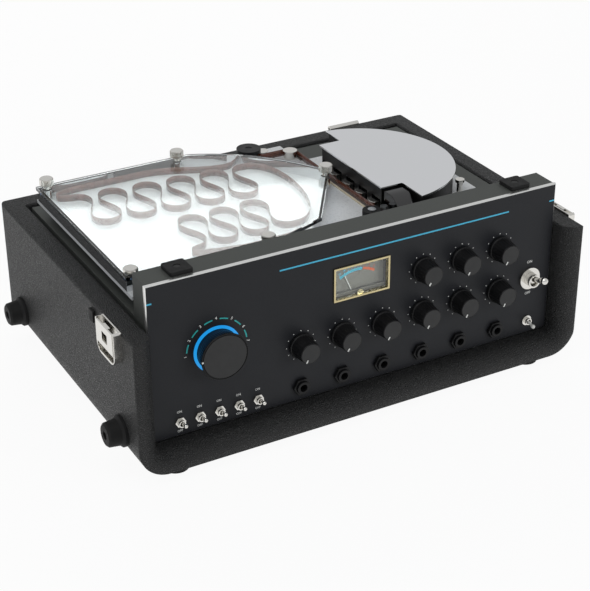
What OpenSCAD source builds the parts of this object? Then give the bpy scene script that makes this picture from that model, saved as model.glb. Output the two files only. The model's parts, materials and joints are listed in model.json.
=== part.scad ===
// Tape echo unit: a covered wooden cabinet, a steel chassis with a control panel,
// and a tape transport whose loose loop of tape lies in a flat chamber under a clear cover.
// The origin is on the table under the middle of the cabinet, with +Z up and the panel facing -Y.
// Most sizes below are in panel coordinates: x right from the panel's left edge,
// y back from its face and z up from its top edge, so everything behind and below it is measured from one corner.

/* [Cabinet] */
// Outside width of the cabinet
cabinet_w = 414; // [410:1:460]
// Outside depth of the cabinet, without its hardware
cabinet_d = 288; // [282:1:340]
// Height of the cabinet walls above the feet
cabinet_h = 120.5; // [117:0.5:150]
// Thickness of the cabinet boards
board = 18; // [15:0.5:19]
// Round along the two long bottom edges
bottom_r = 26; // [18:1:30]
// Bull nose on the inner front edge of the boards
lip_r = 14; // [6:1:14]
// Round of the top and front edges
edge_r = 2.5; // [1:0.5:4]
// Round of the upright rear corners
rear_r = 5; // [3:1:8]
// Gap between the cabinet and the chassis at each side
chassis_gap = 1; // [0.5:0.25:2]

/* [Feet and case hardware] */
// Height of the rubber feet underneath
foot_h = 9; // [6:1:16]
// Diameter of the rubber feet underneath
foot_d = 25; // [16:1:30]
// Distance of those feet from the sides of the cabinet
foot_inset = 38; // [30:1:60]
// Height of the two rubber feet on the left side
side_foot_h = 15; // [8:1:25]
// Diameter of the side feet at their tip
side_foot_d = 20; // [14:1:24]
// Height of the side feet above the underside of the cabinet
side_foot_up = 29.5; // [18:0.5:40]
// Width of a lid latch
latch_w = 35; // [28:1:40]
// Height of a lid latch
latch_h = 29; // [24:1:36]
// How far a latch stands off the wall
latch_proud = 7.5; // [6:0.5:10]
// Length of the carrying handle
handle_l = 150; // [120:1:180]
// How far the handle stands off the wall
handle_proud = 18; // [16:0.5:26]

/* [Panel] */
// Thickness of the front panel
panel_t = 3; // [2:0.25:3.5]
// How far the panel sits behind the front of the cabinet
panel_setback = 18.2; // [16:0.2:30]
// How far the panel stands above the cabinet walls
top_rise = 36; // [34:0.5:44]
// x of the first column of knobs
first_knob_x = 131.4; // [124:0.2:136]
// Distance of the last column of knobs from the switches to its right
last_knob_in = 33; // [30:0.5:44]
// Depth of the upper row of knobs below the panel's top edge
upper_row = 46.7; // [42:0.1:50]
// Depth of the lower row of knobs below the panel's top edge
lower_row = 86.2; // [82:0.1:88]
// Height of the row of jacks above the panel's bottom edge
jack_row = 13.2; // [12:0.2:16]
// Diameter of a small knob at its foot
knob_d = 22; // [19:0.5:26]
// Height of a small knob
knob_h = 17; // [14:0.5:24]
// Diameter of the mode knob
mode_knob_d = 40; // [34:0.5:44]
// Height of the mode knob
mode_knob_h = 14.5; // [13:0.5:24]
// x of the mode knob
mode_x = 57.5; // [50:0.5:64]
// Depth of the mode knob below the panel's top edge
mode_down = 68.5; // [60:0.5:74]
// x of the first small switch
first_switch_x = 23.5; // [16:0.5:28]
// Distance between the small switches
switch_pitch = 17.1; // [14:0.1:18]
// Tilt of a small lever from straight out
lever_tilt = 11; // [6:1:14]
// Tilt of the power lever from straight out
power_tilt = 20; // [12:1:22]
// Distance of the right-hand switches from the panel's right edge
right_switch_in = 22; // [20:0.5:28]
// Width of the meter's bezel
meter_w = 52; // [44:0.5:54]
// Height of the meter's bezel
meter_h = 30; // [24:0.5:32]
// Depth of the middle of the meter below the panel's top edge
meter_down = 41; // [38:0.5:44]

/* [Chassis and decks] */
// Thickness of the chassis sheet
sheet = 1.5; // [1:0.1:2]
// Depth of the strip behind the panel's top edge
strip_d = 26; // [20:0.5:27]
// Depth of the chassis deck below the panel's top edge
chassis_drop = 36.5; // [36:0.25:40]
// Depth of the transport deck's face below the panel's top edge
deck_drop = 22.65; // [21:0.25:23]
// Thickness of the transport deck
deck_t = 3; // [2:0.25:3]

/* [Tape chamber and tape] */
// Depth of the clear cover's face below the panel's top edge
cover_drop = 10; // [8:0.25:11]
// Thickness of the clear cover
cover_t = 3; // [2:0.25:4]
// Thickness of the chamber's polished frame
frame_t = 2; // [1.5:0.25:3]
// Diameter of a cover thumbscrew
thumbscrew_d = 12.2; // [9:0.2:14]
// Width of the tape
tape_w = 6.35; // [5:0.05:7]
// Thickness that the tape is drawn at
tape_t = 0.4; // [0.2:0.1:0.6]
// How far the tape's waves swing to either side of their row, in degrees
tape_swing = 116; // [100:1:117]

/* [Drive] */
// x of the straight run of tape past the heads
tape_x = 239; // [237.5:0.25:239.5]
// Diameter of the capstan shaft
capstan_d = 6; // [4:0.25:8]
// Diameter of the pinch roller
pinch_d = 16; // [12:0.5:18]
// Diameter of the flywheel
flywheel_d = 56; // [40:1:56]
// Diameter of the motor pulley
pulley_d = 14; // [10:0.5:20]
// Width and height of the drive belt
belt = 2; // [1:0.25:2.5]
// Swing of the pinch arm away from the capstan, in degrees
pinch_swing = 10; // [4:1:10]
// Diameter of the cap over the idler
idler_cap_d = 22; // [16:1:26]

/* [Head assembly] */
// Radius of the round edge of the head cover
cover_r = 80.5; // [76:0.5:84]
// Thickness of the head cover
head_cover_t = 1.5; // [1:0.25:3]
// Distance of the housing walls in from the edge of the head cover
housing_inset = 2; // [1:0.25:4]
// Width of a tape head
head_w = 12; // [8:0.5:14]
// Distance between the playback heads
head_pitch = 21; // [16:0.5:24]

/* [Hidden] */
$fn = 48;

// Clearances: pieces fixed in each other, pieces that turn or slide, and a cut past a face
fit = 0.05;
running = 0.3;
past = 1;

// The panel and the frame that it sets up
panel_w = cabinet_w - 2 * board - 2 * chassis_gap;
panel_top = foot_h + cabinet_h + top_rise;
floor_z = board - cabinet_h - top_rise;
panel_bottom = floor_z + chassis_gap;
wall_x = -board - chassis_gap;
right_wall_x = panel_w - wall_x;
case_front_y = -panel_setback;
case_rear_y = cabinet_d - panel_setback;

// The chassis, as the ends of its sheets
rear_gap = 5.8;
chassis_x = 1.5;
chassis_rear_y = case_rear_y - board - rear_gap;
tray_z = floor_z + 0.1;
chassis_z = tray_z + sheet;
inside_y = panel_t + sheet;

// Rows and columns of controls
jack_z = panel_bottom + jack_row;
small_switch_z = jack_z;
power_switch_z = -lower_row + 3;
level_switch_z = jack_z;
right_switch_x = panel_w - right_switch_in;
knob_pitch = (right_switch_x - last_knob_in - first_knob_x) / 5;
column = function(i) first_knob_x + i * knob_pitch;
meter_x = column(1.5) - 1.4;
KNOB_PLACES = concat(
  [for (i = [0 : 5]) [column(i), -lower_row]],
  [for (i = [3 : 5]) [column(i), -upper_row]]
);
mode_place = [mode_x, -mode_down];
jack_columns = 6;
small_switches = 5;

// Spindles and bushes of the controls
shaft_r = 3;
bush_r = 3.5;
mode_bush_r = 4.5;
bush_out = 3;
pot_r = 8.4;
pot_l = 9;
mode_switch_r = 13;
knob_gap = 0.8;
nut_t = 2;

// Small and large toggle switches; lengths run out from the panel's face
mini_r = 3;
mini_bore_r = 2.1;
mini_mouth = 5.2;
mini_pivot = 2.2;
mini_lever = 11;
power_r = 6;
power_bore_r = 4.6;
power_mouth = 9;
power_pivot = 4;
power_lever = 22;

// Jack sockets
jack_r = 3.2;
jack_bush_r = 5.5;
jack_mouth = 5;
jack_depth = 24;

// Meter: its window, and the movement whose pivot lies below the window
meter_edge = 1.75;
meter_z = -meter_down;
meter_body_w = meter_w + 0.5;
meter_body_h = 44;
meter_body_l = 20;
meter_wall = 1.5;
meter_body_top = meter_z + meter_h / 2 + 0.5;
meter_pivot_z = meter_z - meter_h / 2 - 9.5;
meter_dial_y = inside_y + 3;
needle_l = 30;
needle_rest = 24;

// Transport: faces of its levels
cover_z = -cover_drop;
chassis_deck_z = -chassis_drop;
deck_z = -deck_drop;
deck_under_z = deck_z - deck_t;
cover_under_z = cover_z - cover_t;
tape_z = deck_z + running;
cover_overhang = 1;
chamber_left_x = 1;
deck_left_x = chamber_left_x + cover_overhang;
deck_right_x = panel_w - 34;
deck_front_y = 30;
deck_rear_y = 192;
deck_step_x = 238;
deck_step_y = 231;
STANDOFFS = [[14, 46], [110, 46], [14, 218], [120, 218], [225, 222], [196, 120], [332, 40], [332, 182]];

// Outline of the tape chamber, anticlockwise from its front left corner
chamber_arc_r = 171;
chamber_right = [236, 136];
chamber_back = [143, 229];
function chamber_outline() =
  let (
    chord = chamber_back - chamber_right,
    middle = (chamber_back + chamber_right) / 2,
    inward = [-chord.y, chord.x] / norm(chord),
    centre = middle + inward * sqrt(pow(chamber_arc_r, 2) - pow(norm(chord) / 2, 2)),
    from = chamber_right - centre,
    to = chamber_back - centre,
    a0 = atan2(from.y, from.x),
    a1 = atan2(to.y, to.x),
    steps = 12
  )
  concat(
    [[chamber_left_x, 38], [132, 38], [183, 57]],
    [for (i = [0 : steps]) centre + chamber_arc_r * dir(a0 + (a1 - a0) * i / steps)],
    [[chamber_left_x, chamber_back.y]]
  );
THUMBSCREWS = [[8.5, 45.5], [127, 44.5], [8.5, 222], [130, 222], [228.5, 130.5]];
TALL_THUMBSCREWS = [2, 3, 4];
front_gate = [168, 51.9];
rear_gate = [180, 207.5];
gate_w = 14;

// Drive places. The tape's straight run passes between the capstan and the pinch roller
tape_side = tape_t / 2 + 0.1;
nip_y = 57;
capstan_x = tape_x + tape_side + capstan_d / 2;
pinch_x = tape_x - tape_side - pinch_d / 2;
capstan_place = [capstan_x, nip_y];
pinch_place = [pinch_x, nip_y];
arm_pivot = [pinch_x - 2.7, nip_y - 21];
arm_tail_y = nip_y - 11;
arm_tail_x = arm_pivot.x + (pinch_x - arm_pivot.x) * (arm_tail_y - arm_pivot.y) / (nip_y - arm_pivot.y);
arm_z = deck_under_z - 3.85;
arm_t = 2;
arm_half_w = 3;
axle_r = 2;
motor_place = [300, 92];
motor_d = 36;
motor_l = 40;
flywheel_z = chassis_deck_z + 0.5;
flywheel_t = 5;
belt_z = flywheel_z + (flywheel_t - belt) / 2;
belt_on_wheel = flywheel_d / 2 - belt / 2;
belt_on_pulley = pulley_d / 2 - belt / 2;
solenoid_x = 180;
solenoid_l = 28;
solenoid_w = 18;
plunger_r = 1.5;
plunger_z = arm_z + arm_t / 2;

// Posts and rollers that guide the tape, each [place, radius]
guide_side = tape_t / 2 + 2 * fit;
REAR_GUIDE = [[tape_x - guide_side - 5.5, 203], 5.5];
TENSION_GUIDE = [[211, 214], 4.5];
FRONT_GUIDE = [[tape_x - guide_side - 4, 43], 4];
IDLER = [[199, 218], 7];
guide_top = tape_z + tape_w + 0.8;
idler_cap_z = guide_top + running;
idler_bore_z = idler_cap_z + 2.3;

// Head assembly: a D-shaped cover with two notches beside its straight edge
cover_centre = [255, 114.3];
cover_left_x = 244;
notch_right_x = 265;
front_notch_y = 65;
rear_notch_y = 169;
housing_wall = 2;
head_h = tape_w + 1.2;
head_margin = housing_inset + housing_wall + 1 + head_w / 2;
erase_y = rear_notch_y - head_margin;
HEADS = concat([erase_y, erase_y - 18], [for (i = [2 : -1 : 0]) front_notch_y + head_margin + i * head_pitch]);
head_back_x = tape_x + 14;

// Colours
tolex = [0.12, 0.12, 0.12];
panel_black = [0.16, 0.17, 0.18];
steel_grey = [0.25, 0.26, 0.25];
rubber = [0.07, 0.07, 0.07];
chrome = [0.82, 0.83, 0.84];
aluminium = [0.78, 0.79, 0.8];
white_paint = [0.9, 0.9, 0.88];
plastic_black = [0.1, 0.1, 0.1];
brass = [0.78, 0.7, 0.5];

// ---- Geometry helpers ----

// Unit vector at an angle
function dir(a) = [cos(a), sin(a)];
// Vector turned by an angle
function turned(v, a) = [v.x * cos(a) - v.y * sin(a), v.x * sin(a) + v.y * cos(a)];
// Angle brought between 0 and 360
function positive(a) = a - 360 * floor(a / 360);

// An anticlockwise outline with every side moved inwards by d
function inset(points, d) =
  let (n = len(points))
  [for (i = [0 : n - 1])
    let (
      before = points[(i + n - 1) % n],
      here = points[i],
      after = points[(i + 1) % n],
      u = (here - before) / norm(here - before),
      v = (after - here) / norm(after - here),
      nu = [-u.y, u.x],
      nv = [-v.y, v.x]
    )
    here + (nu + nv) * d / (1 + nu * nv)];

// Draws in panel coordinates
module at_panel() {
  translate([-panel_w / 2, panel_setback - cabinet_d / 2, panel_top]) children();
}

// Draws in panel coordinates with z pointing out of the panel at a place [x, z] on its face
module out_of_panel(place) {
  at_panel() translate([place.x, 0, place.y]) rotate([90, 0, 0]) children();
}

// A box from one corner to the other
module block(low, high) {
  translate(low) cube(high - low);
}

// A ring or tube along z
module tube(outer_r, bore_r, z0, z1) {
  difference() {
    translate([0, 0, z0]) cylinder(r = outer_r, h = z1 - z0);
    translate([0, 0, z0 - past]) cylinder(r = bore_r, h = z1 - z0 + 2 * past);
  }
}

// A rod along z
module rod(r, z0, z1) {
  translate([0, 0, z0]) cylinder(r = r, h = z1 - z0);
}

// What is cut off a square corner at the origin to round it
module corner_waste(r) {
  difference() {
    translate([-past, -past]) square(r + past);
    translate([r, r]) circle(r);
  }
}

// A rectangle with its own round at each corner: lower left, lower right, upper right, upper left
module round_rect(size, rounds) {
  difference() {
    square(size);
    corner_waste(rounds[0]);
    translate([size.x, 0]) mirror([1, 0]) corner_waste(rounds[1]);
    translate(size) mirror([1, 0]) mirror([0, 1]) corner_waste(rounds[2]);
    translate([0, size.y]) mirror([0, 1]) corner_waste(rounds[3]);
  }
}

// ---- Cabinet and its hardware ----

// The cabinet's shape seen from the front, and seen from above
module cabinet_front_shape() {
  round_rect([cabinet_w, cabinet_h], [bottom_r, bottom_r, edge_r, edge_r]);
}
module cabinet_plan_shape() {
  round_rect([cabinet_w, cabinet_d], [edge_r, edge_r, rear_r, rear_r]);
}

inner_r = 6;
corner_r = inner_r - chassis_gap;
inlet_opening = [66, 46];
inlet_place = [panel_w - 46, -92];

// The bull nose that runs up the walls and along the floor of the front opening
module front_lip_waste() {
  inner_w = cabinet_w - 2 * board;
  corner_x = inner_w / 2 - inner_r;
  corner_z = foot_h + board + inner_r;
  for (side = [0, 1]) {
    mirror([side, 0, 0]) {
      translate([inner_w / 2, -cabinet_d / 2, corner_z])
        linear_extrude(cabinet_h) corner_waste(lip_r);
      translate([corner_x, -cabinet_d / 2, corner_z])
        rotate([-90, 0, 0]) rotate_extrude() translate([inner_r, 0]) corner_waste(lip_r);
    }
  }
  translate([-corner_x, -cabinet_d / 2, foot_h + board])
    rotate([90, 0, 90]) linear_extrude(2 * corner_x) mirror([0, 1]) corner_waste(lip_r);
}

// The round on the inner top edges of the two walls and the back
module top_edge_waste() {
  top_z = foot_h + cabinet_h;
  inner_w = cabinet_w - 2 * board;
  for (side = [0, 1]) {
    mirror([side, 0, 0])
      translate([inner_w / 2, cabinet_d / 2 - board, top_z])
        rotate([90, 0, 0]) linear_extrude(cabinet_d) mirror([0, 1]) corner_waste(edge_r);
  }
  translate([-inner_w / 2, cabinet_d / 2 - board, top_z])
    rotate([90, 0, 90]) linear_extrude(inner_w) mirror([0, 1]) corner_waste(edge_r);
}

// Boards glued into one shell, open at the front and top
module cabinet() {
  inner = [cabinet_w - 2 * board, cabinet_h];
  color(tolex) difference() {
    intersection() {
      translate([-cabinet_w / 2, cabinet_d / 2, foot_h])
        rotate([90, 0, 0]) linear_extrude(cabinet_d) cabinet_front_shape();
      translate([-cabinet_w / 2, -cabinet_d / 2, foot_h])
        linear_extrude(cabinet_h) cabinet_plan_shape();
    }
    translate([-inner.x / 2, cabinet_d / 2 - board, foot_h + board])
      rotate([90, 0, 0]) linear_extrude(cabinet_d) round_rect(inner, [inner_r, inner_r, 0, 0]);
    front_lip_waste();
    top_edge_waste();
    at_panel() translate([inlet_place.x, case_rear_y - board - past, inlet_place.y])
      translate([-inlet_opening.x / 2, 0, -inlet_opening.y / 2])
        cube([inlet_opening.x, board + 2 * past, inlet_opening.y]);
  }
}

// Places of the four feet underneath, from the middle of the cabinet
foot_places = [for (x = [-1, 1], y = [-1, 1])
  [x * (cabinet_w / 2 - foot_inset), y * (cabinet_d / 2 - 20)]];

module bottom_feet() {
  recess_r = 4.5;
  taper = 1.5;
  color(rubber) for (place = foot_places) {
    translate(place) rotate_extrude() polygon([
      [recess_r, 0], [foot_d / 2 - taper, 0], [foot_d / 2, foot_h], [0, foot_h],
      [0, foot_h - 3], [recess_r, foot_h - 3]
    ]);
  }
}

side_foot_y = [14, 233];
module side_feet() {
  flange_r = side_foot_d / 2 + 3;
  recess_r = 3.5;
  edge = 1.5;
  color(rubber) for (y = side_foot_y) {
    at_panel() translate([wall_x, y, floor_z - board + side_foot_up])
      rotate([0, -90, 0]) rotate_extrude() polygon([
        [0, 0], [flange_r, 0], [flange_r, 2.5], [side_foot_d / 2 + 1, 4.5],
        [side_foot_d / 2, side_foot_h - edge], [side_foot_d / 2 - edge, side_foot_h],
        [recess_r, side_foot_h], [recess_r, 4], [0, 4]
      ]);
  }
}

// A latch as seen from outside its wall: x back from its front edge, y up, z out of the wall
latch_y = 3.5;
latch_top = top_rise - 1;
latch_pin_z = 4;
latch_pin_up = 9;
latch_plate_t = 1.2;
latch_cheek = 2;
module latch_base() {
  corner = 9;
  linear_extrude(latch_plate_t) round_rect([latch_w, latch_h], [corner, corner, 1, 1]);
  difference() {
    linear_extrude(latch_proud - 1) round_rect([latch_w, latch_h], [corner, corner, 2, 2]);
    translate([latch_cheek, latch_cheek, latch_plate_t])
      linear_extrude(latch_proud)
        round_rect([latch_w - 2 * latch_cheek, latch_h], [corner - 5, corner - 5, 0, 0]);
  }
  translate([latch_cheek - 0.5, latch_pin_up, latch_pin_z])
    rotate([0, 90, 0]) cylinder(r = 1.2, h = latch_w - 2 * latch_cheek + 1);
}
module latch_lever() {
  side = latch_cheek + running;
  barrel_r = 2.4;
  hook_w = 10;
  difference() {
    union() {
      translate([side, latch_pin_up, latch_pin_z])
        rotate([0, 90, 0]) cylinder(r = barrel_r, h = latch_w - 2 * side);
      block([side, latch_pin_up, latch_proud - 1.9], [latch_w - side, latch_h - 1, latch_proud - 0.5]);
      block([side, latch_pin_up, latch_pin_z], [latch_w - side, latch_pin_up + 2, latch_proud - 1]);
      block([(latch_w - hook_w) / 2, latch_h - 3, latch_proud - 4], [(latch_w + hook_w) / 2, latch_h - 1, latch_proud - 1]);
    }
    translate([side - past, latch_pin_up, latch_pin_z])
      rotate([0, 90, 0]) cylinder(r = 1.2 + fit, h = latch_w);
    translate([latch_w / 2 - 5, latch_pin_up + 5, 0]) cube([10, 8, latch_proud + past]);
  }
}

// Puts a latch on the left wall, or its mirror image on the right wall
module on_wall(right) {
  low_z = -latch_top - latch_h;
  if (right) {
    at_panel() translate([right_wall_x, latch_y, low_z]) rotate([90, 0, 90]) children();
  } else {
    at_panel() translate([wall_x, latch_y, low_z]) mirror([1, 0, 0]) rotate([90, 0, 90]) children();
  }
}

// Fixed halves of the lid's latches and hinge, and the stop on the left wall
hinge_x = 314;
hinge_w = 32;
module lid_hardware() {
  stop = [8, 10];
  stop_t = 2.5;
  plate_h = 26;
  plate_t = 1.5;
  barrel_r = 2.5;
  color(chrome) {
    on_wall(false) latch_base();
    on_wall(true) latch_base();
    at_panel() difference() {
      union() {
        block([hinge_x, case_rear_y, -top_rise - plate_h], [hinge_x + hinge_w, case_rear_y + plate_t, -top_rise]);
        translate([hinge_x, case_rear_y + barrel_r, -top_rise])
          rotate([0, 90, 0]) cylinder(r = barrel_r, h = hinge_w);
      }
      translate([hinge_x - past, case_rear_y + barrel_r, -top_rise])
        rotate([0, 90, 0]) cylinder(r = 1.3, h = hinge_w / 2 + past);
    }
  }
  color(rubber) at_panel()
    translate([wall_x - stop_t, latch_y + latch_w + 16, -latch_top - 16]) cube([stop_t, stop.x, stop.y]);
}

module left_latch_lever() {
  color(chrome) on_wall(false) latch_lever();
}

module right_latch_lever() {
  color(chrome) on_wall(true) latch_lever();
}

// Strap handle on the right wall, seen from above: y along the wall, bowed off it, between two end caps
handle_y = 124;
handle_z = -top_rise - cabinet_h / 2 + 4;
handle_w = 22;
module carry_handle() {
  cap = [26, 30, 9];
  strap_t = 7;
  rise = handle_proud - strap_t;
  half = handle_l / 2;
  cap_screw_r = 3.5;
  at_panel() translate([right_wall_x, handle_y, handle_z]) {
    color(rubber) translate([0, 0, -handle_w / 2]) linear_extrude(handle_w) polygon([
      [0, -half], [strap_t - 1, -half], [rise + strap_t, -half + 38], [rise + strap_t, half - 38],
      [strap_t - 1, half], [0, half], [0, half - cap.x + 3],
      [rise, half - 44], [rise, -half + 44], [0, -half + cap.x - 3]
    ]);
    color(chrome) for (end = [0, 1]) mirror([0, end, 0]) {
      difference() {
        block([0, half - 12, -cap.y / 2], [cap.z, half + 8, cap.y / 2]);
        block([-past, half - 12 - past, -handle_w / 2 - fit], [strap_t + fit, half + fit, handle_w / 2 + fit]);
      }
      translate([cap.z, half + 3.5, 0]) rotate([0, 90, 0]) cylinder(r = cap_screw_r, h = 1.5);
    }
  }
}

// Appliance inlet on the back of the chassis, in the opening of the rear board
module mains_inlet() {
  flange = [50, 30, 2];
  body = [28, 20, 24];
  mouth = [24, 16, 14];
  pin = [2, 5];
  at_panel() translate([inlet_place.x, chassis_rear_y, inlet_place.y]) rotate([-90, 0, 0]) {
    color(plastic_black) difference() {
      union() {
        translate([0, 0, flange.z / 2]) cube(flange, center = true);
        translate([0, 0, -body.z / 2 + fit]) cube([body.x, body.y, body.z], center = true);
      }
      translate([0, 0, flange.z + past - (mouth.z + past) / 2])
        cube([mouth.x, mouth.y, mouth.z + past], center = true);
    }
    color(brass) for (x = [-7, 0, 7])
      translate([x - pin.x / 2, (x == 0 ? 1 : -3) - pin.y / 2, flange.z - mouth.z + fit])
        cube([pin.x, pin.y, mouth.z - 4]);
  }
}

// ---- Panel and chassis ----

// Every round hole for a control, cut through from the front, with a clearance
module control_holes(depth, clear) {
  for (place = KNOB_PLACES) out_of_panel(place) rod(bush_r + clear, -depth, past);
  out_of_panel(mode_place) rod(mode_bush_r + clear, -depth, past);
  for (i = [0 : small_switches - 1])
    out_of_panel([first_switch_x + i * switch_pitch, small_switch_z]) rod(mini_r + clear, -depth, past);
  out_of_panel([right_switch_x, power_switch_z]) rod(power_r + clear, -depth, past);
  out_of_panel([right_switch_x, level_switch_z]) rod(mini_r + clear, -depth, past);
  for (i = [0 : jack_columns - 1])
    out_of_panel([column(i), jack_z]) rod(jack_bush_r + clear, -depth, past);
}

module front_panel() {
  color(panel_black) difference() {
    at_panel() translate([0, panel_t, panel_bottom]) rotate([90, 0, 0]) linear_extrude(panel_t)
      round_rect([panel_w, -panel_bottom], [corner_r, corner_r, 0, 0]);
    control_holes(panel_t + past, fit);
    at_panel() translate([meter_x, panel_t / 2, meter_z])
      cube([meter_w - meter_edge, panel_t + 2 * past, meter_h - meter_edge], center = true);
  }
}

// Riveted sheets: front, strip, step, deck and back between two ends
module chassis() {
  low_x = chassis_x + sheet + fit;
  high_x = panel_w - low_x;
  color(steel_grey) {
    difference() {
      at_panel() block([low_x, panel_t, chassis_z], [high_x, inside_y, -sheet - fit]);
      control_holes(panel_t + sheet + past, 2 * fit);
      at_panel() block(
        [meter_x - meter_body_w / 2 - running, panel_t - past, meter_body_top - meter_body_h - running],
        [meter_x + meter_body_w / 2 + running, inside_y + past, meter_body_top + running]);
    }
    at_panel() block([low_x, panel_t, -sheet], [high_x, strip_d, 0]);
    at_panel() block([low_x, strip_d - sheet, chassis_deck_z + fit], [high_x, strip_d, -sheet - fit]);
    at_panel() difference() {
      block([low_x, strip_d - sheet, chassis_deck_z - sheet], [high_x, chassis_rear_y, chassis_deck_z]);
      translate(capstan_place) rod(bearing_r + fit, chassis_deck_z - sheet - past, chassis_deck_z + past);
      translate(motor_place) rod(motor_boss_r + fit, chassis_deck_z - sheet - past, chassis_deck_z + past);
    }
    at_panel() difference() {
      block([low_x, chassis_rear_y - sheet, chassis_z], [high_x, chassis_rear_y, chassis_deck_z - sheet - fit]);
      translate([inlet_place.x, chassis_rear_y, inlet_place.y]) cube([28.4, 4 * sheet, 20.4], center = true);
    }
    for (x = [chassis_x, panel_w - chassis_x - sheet]) at_panel() translate([x, 0, 0]) {
      block([0, panel_t, chassis_deck_z + fit], [sheet, strip_d, 0]);
      block([0, panel_t, chassis_z], [sheet, chassis_rear_y, chassis_deck_z]);
    }
  }
}

module chassis_base() {
  color(steel_grey) at_panel()
    block([corner_r, panel_t, tray_z], [panel_w - corner_r, chassis_rear_y, chassis_z - fit]);
}

// Square rubber pads that the closed lid rests on, each held by a screw
module lid_pads() {
  pad = 19;
  pad_h = 3.6;
  screw_r = 2.8;
  at_panel() for (x = [33, panel_w - 33]) translate([x, 14, 0]) {
    color(rubber) difference() {
      translate([-pad / 2, -pad / 2, 0]) linear_extrude(pad_h) round_rect([pad, pad], [2, 2, 2, 2]);
      rod(screw_r + fit, 1.5, pad_h + past);
    }
    color(chrome) rod(screw_r, 1.5 + fit, pad_h - 0.4);
  }
}

// ---- Controls ----

// A turned knob on its spindle, pointer groove at an angle anticlockwise from the right
module knob(foot_r, face_r, height, spindle_r, nut_r, pointer_from, pointer_angle) {
  bore_end = height - 5;
  recess = knob_gap + nut_t + 1.5;
  chamfer = 0.8;
  color(plastic_black) difference() {
    rotate_extrude() polygon([
      [nut_r, knob_gap], [foot_r, knob_gap], [foot_r, knob_gap + 2], [foot_r - 0.8, knob_gap + 3],
      [face_r, height - chamfer], [face_r - chamfer, height], [0, height],
      [0, bore_end], [spindle_r + fit, bore_end], [spindle_r + fit, recess], [nut_r, recess]
    ]);
    rotate(pointer_angle) translate([pointer_from, -0.6, height - 0.4]) cube([face_r, 1.2, 1]);
  }
  color(chrome) rod(spindle_r, -panel_t - sheet - 4, bore_end - fit);
}

small_nut_r = 5.5;
seven_oclock = 240;
module small_knob(i) {
  out_of_panel(KNOB_PLACES[i])
    knob(knob_d / 2, knob_d / 2 - 2.2, knob_h, shaft_r, small_nut_r + 1.5, knob_d / 2 - 7, seven_oclock);
}

module input_volume_knob() { small_knob(0); }
module chorus_rate_knob() { small_knob(1); }
module chorus_depth_knob() { small_knob(2); }
module reverb_volume_knob() { small_knob(3); }
module tape_speed_knob() { small_knob(4); }
module echo_volume_knob() { small_knob(5); }
module bass_knob() { small_knob(6); }
module treble_knob() { small_knob(7); }
module feedback_knob() { small_knob(8); }

// The knob flares from a narrower foot, which the lit ring goes round
mode_foot_r = mode_knob_d / 2 - 2.6;
module mode_knob() {
  out_of_panel(mode_place)
    knob(mode_foot_r, mode_knob_d / 2, mode_knob_h, shaft_r, 9, mode_knob_d / 2 - 1.9, 180);
}

// Lit ring round the foot of the mode knob
module mode_light_ring() {
  color([0.15, 0.6, 0.95]) out_of_panel(mode_place) tube(mode_knob_d / 2, mode_foot_r + running, 0, 1);
}

// Body, bush and nut of each rotary control
module rotary(body_r, body_l, bushing_r, nut_r) {
  front = -panel_t - sheet;
  difference() {
    union() {
      rod(body_r, front - body_l, front - fit);
      rod(bushing_r, front - 1, bush_out);
    }
    rod(shaft_r + fit, front - 4.5, bush_out + past);
  }
  tube(nut_r, bushing_r + fit, fit, nut_t);
}
module potentiometers() {
  color(chrome) {
    for (place = KNOB_PLACES) out_of_panel(place) rotary(pot_r, pot_l, bush_r, small_nut_r);
    out_of_panel(mode_place) rotary(mode_switch_r, 14, mode_bush_r, 7.5);
  }
}

// Bat lever from its ball and pin, tilted upwards by an angle
module bat_lever(pivot, tilt, ball_r, neck_r, tip_r, length) {
  translate([0, 0, pivot]) rotate([-tilt, 0, 0]) {
    sphere(r = ball_r);
    rotate([0, 90, 0]) cylinder(r = ball_r / 4, h = 2 * ball_r + running, center = true);
    rod(neck_r, 0, length - tip_r);
    translate([0, 0, length - 2.2 * tip_r]) cylinder(r1 = neck_r, r2 = tip_r, h = 1.2 * tip_r);
    translate([0, 0, length - tip_r]) sphere(r = tip_r);
  }
}
module small_lever(i) {
  color(chrome) out_of_panel([first_switch_x + i * switch_pitch, small_switch_z])
    bat_lever(mini_pivot, lever_tilt, mini_bore_r - 0.2, 1.1, 1.9, mini_lever);
}

module direct_switch_lever() { small_lever(0); }
module motor_switch_lever() { small_lever(1); }
module overdub_switch_lever() { small_lever(2); }
module echo_switch_lever() { small_lever(3); }
module chorus_switch_lever() { small_lever(4); }

module power_switch_lever() {
  color(chrome) out_of_panel([right_switch_x, power_switch_z])
    bat_lever(power_pivot, power_tilt, power_bore_r - 0.3, 2.2, 3.4, power_lever);
}

module level_switch_lever() {
  color("white") out_of_panel([right_switch_x, level_switch_z])
    bat_lever(mini_pivot, -lever_tilt, mini_bore_r - 0.2, 1.1, 1.9, mini_lever);
}

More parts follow.
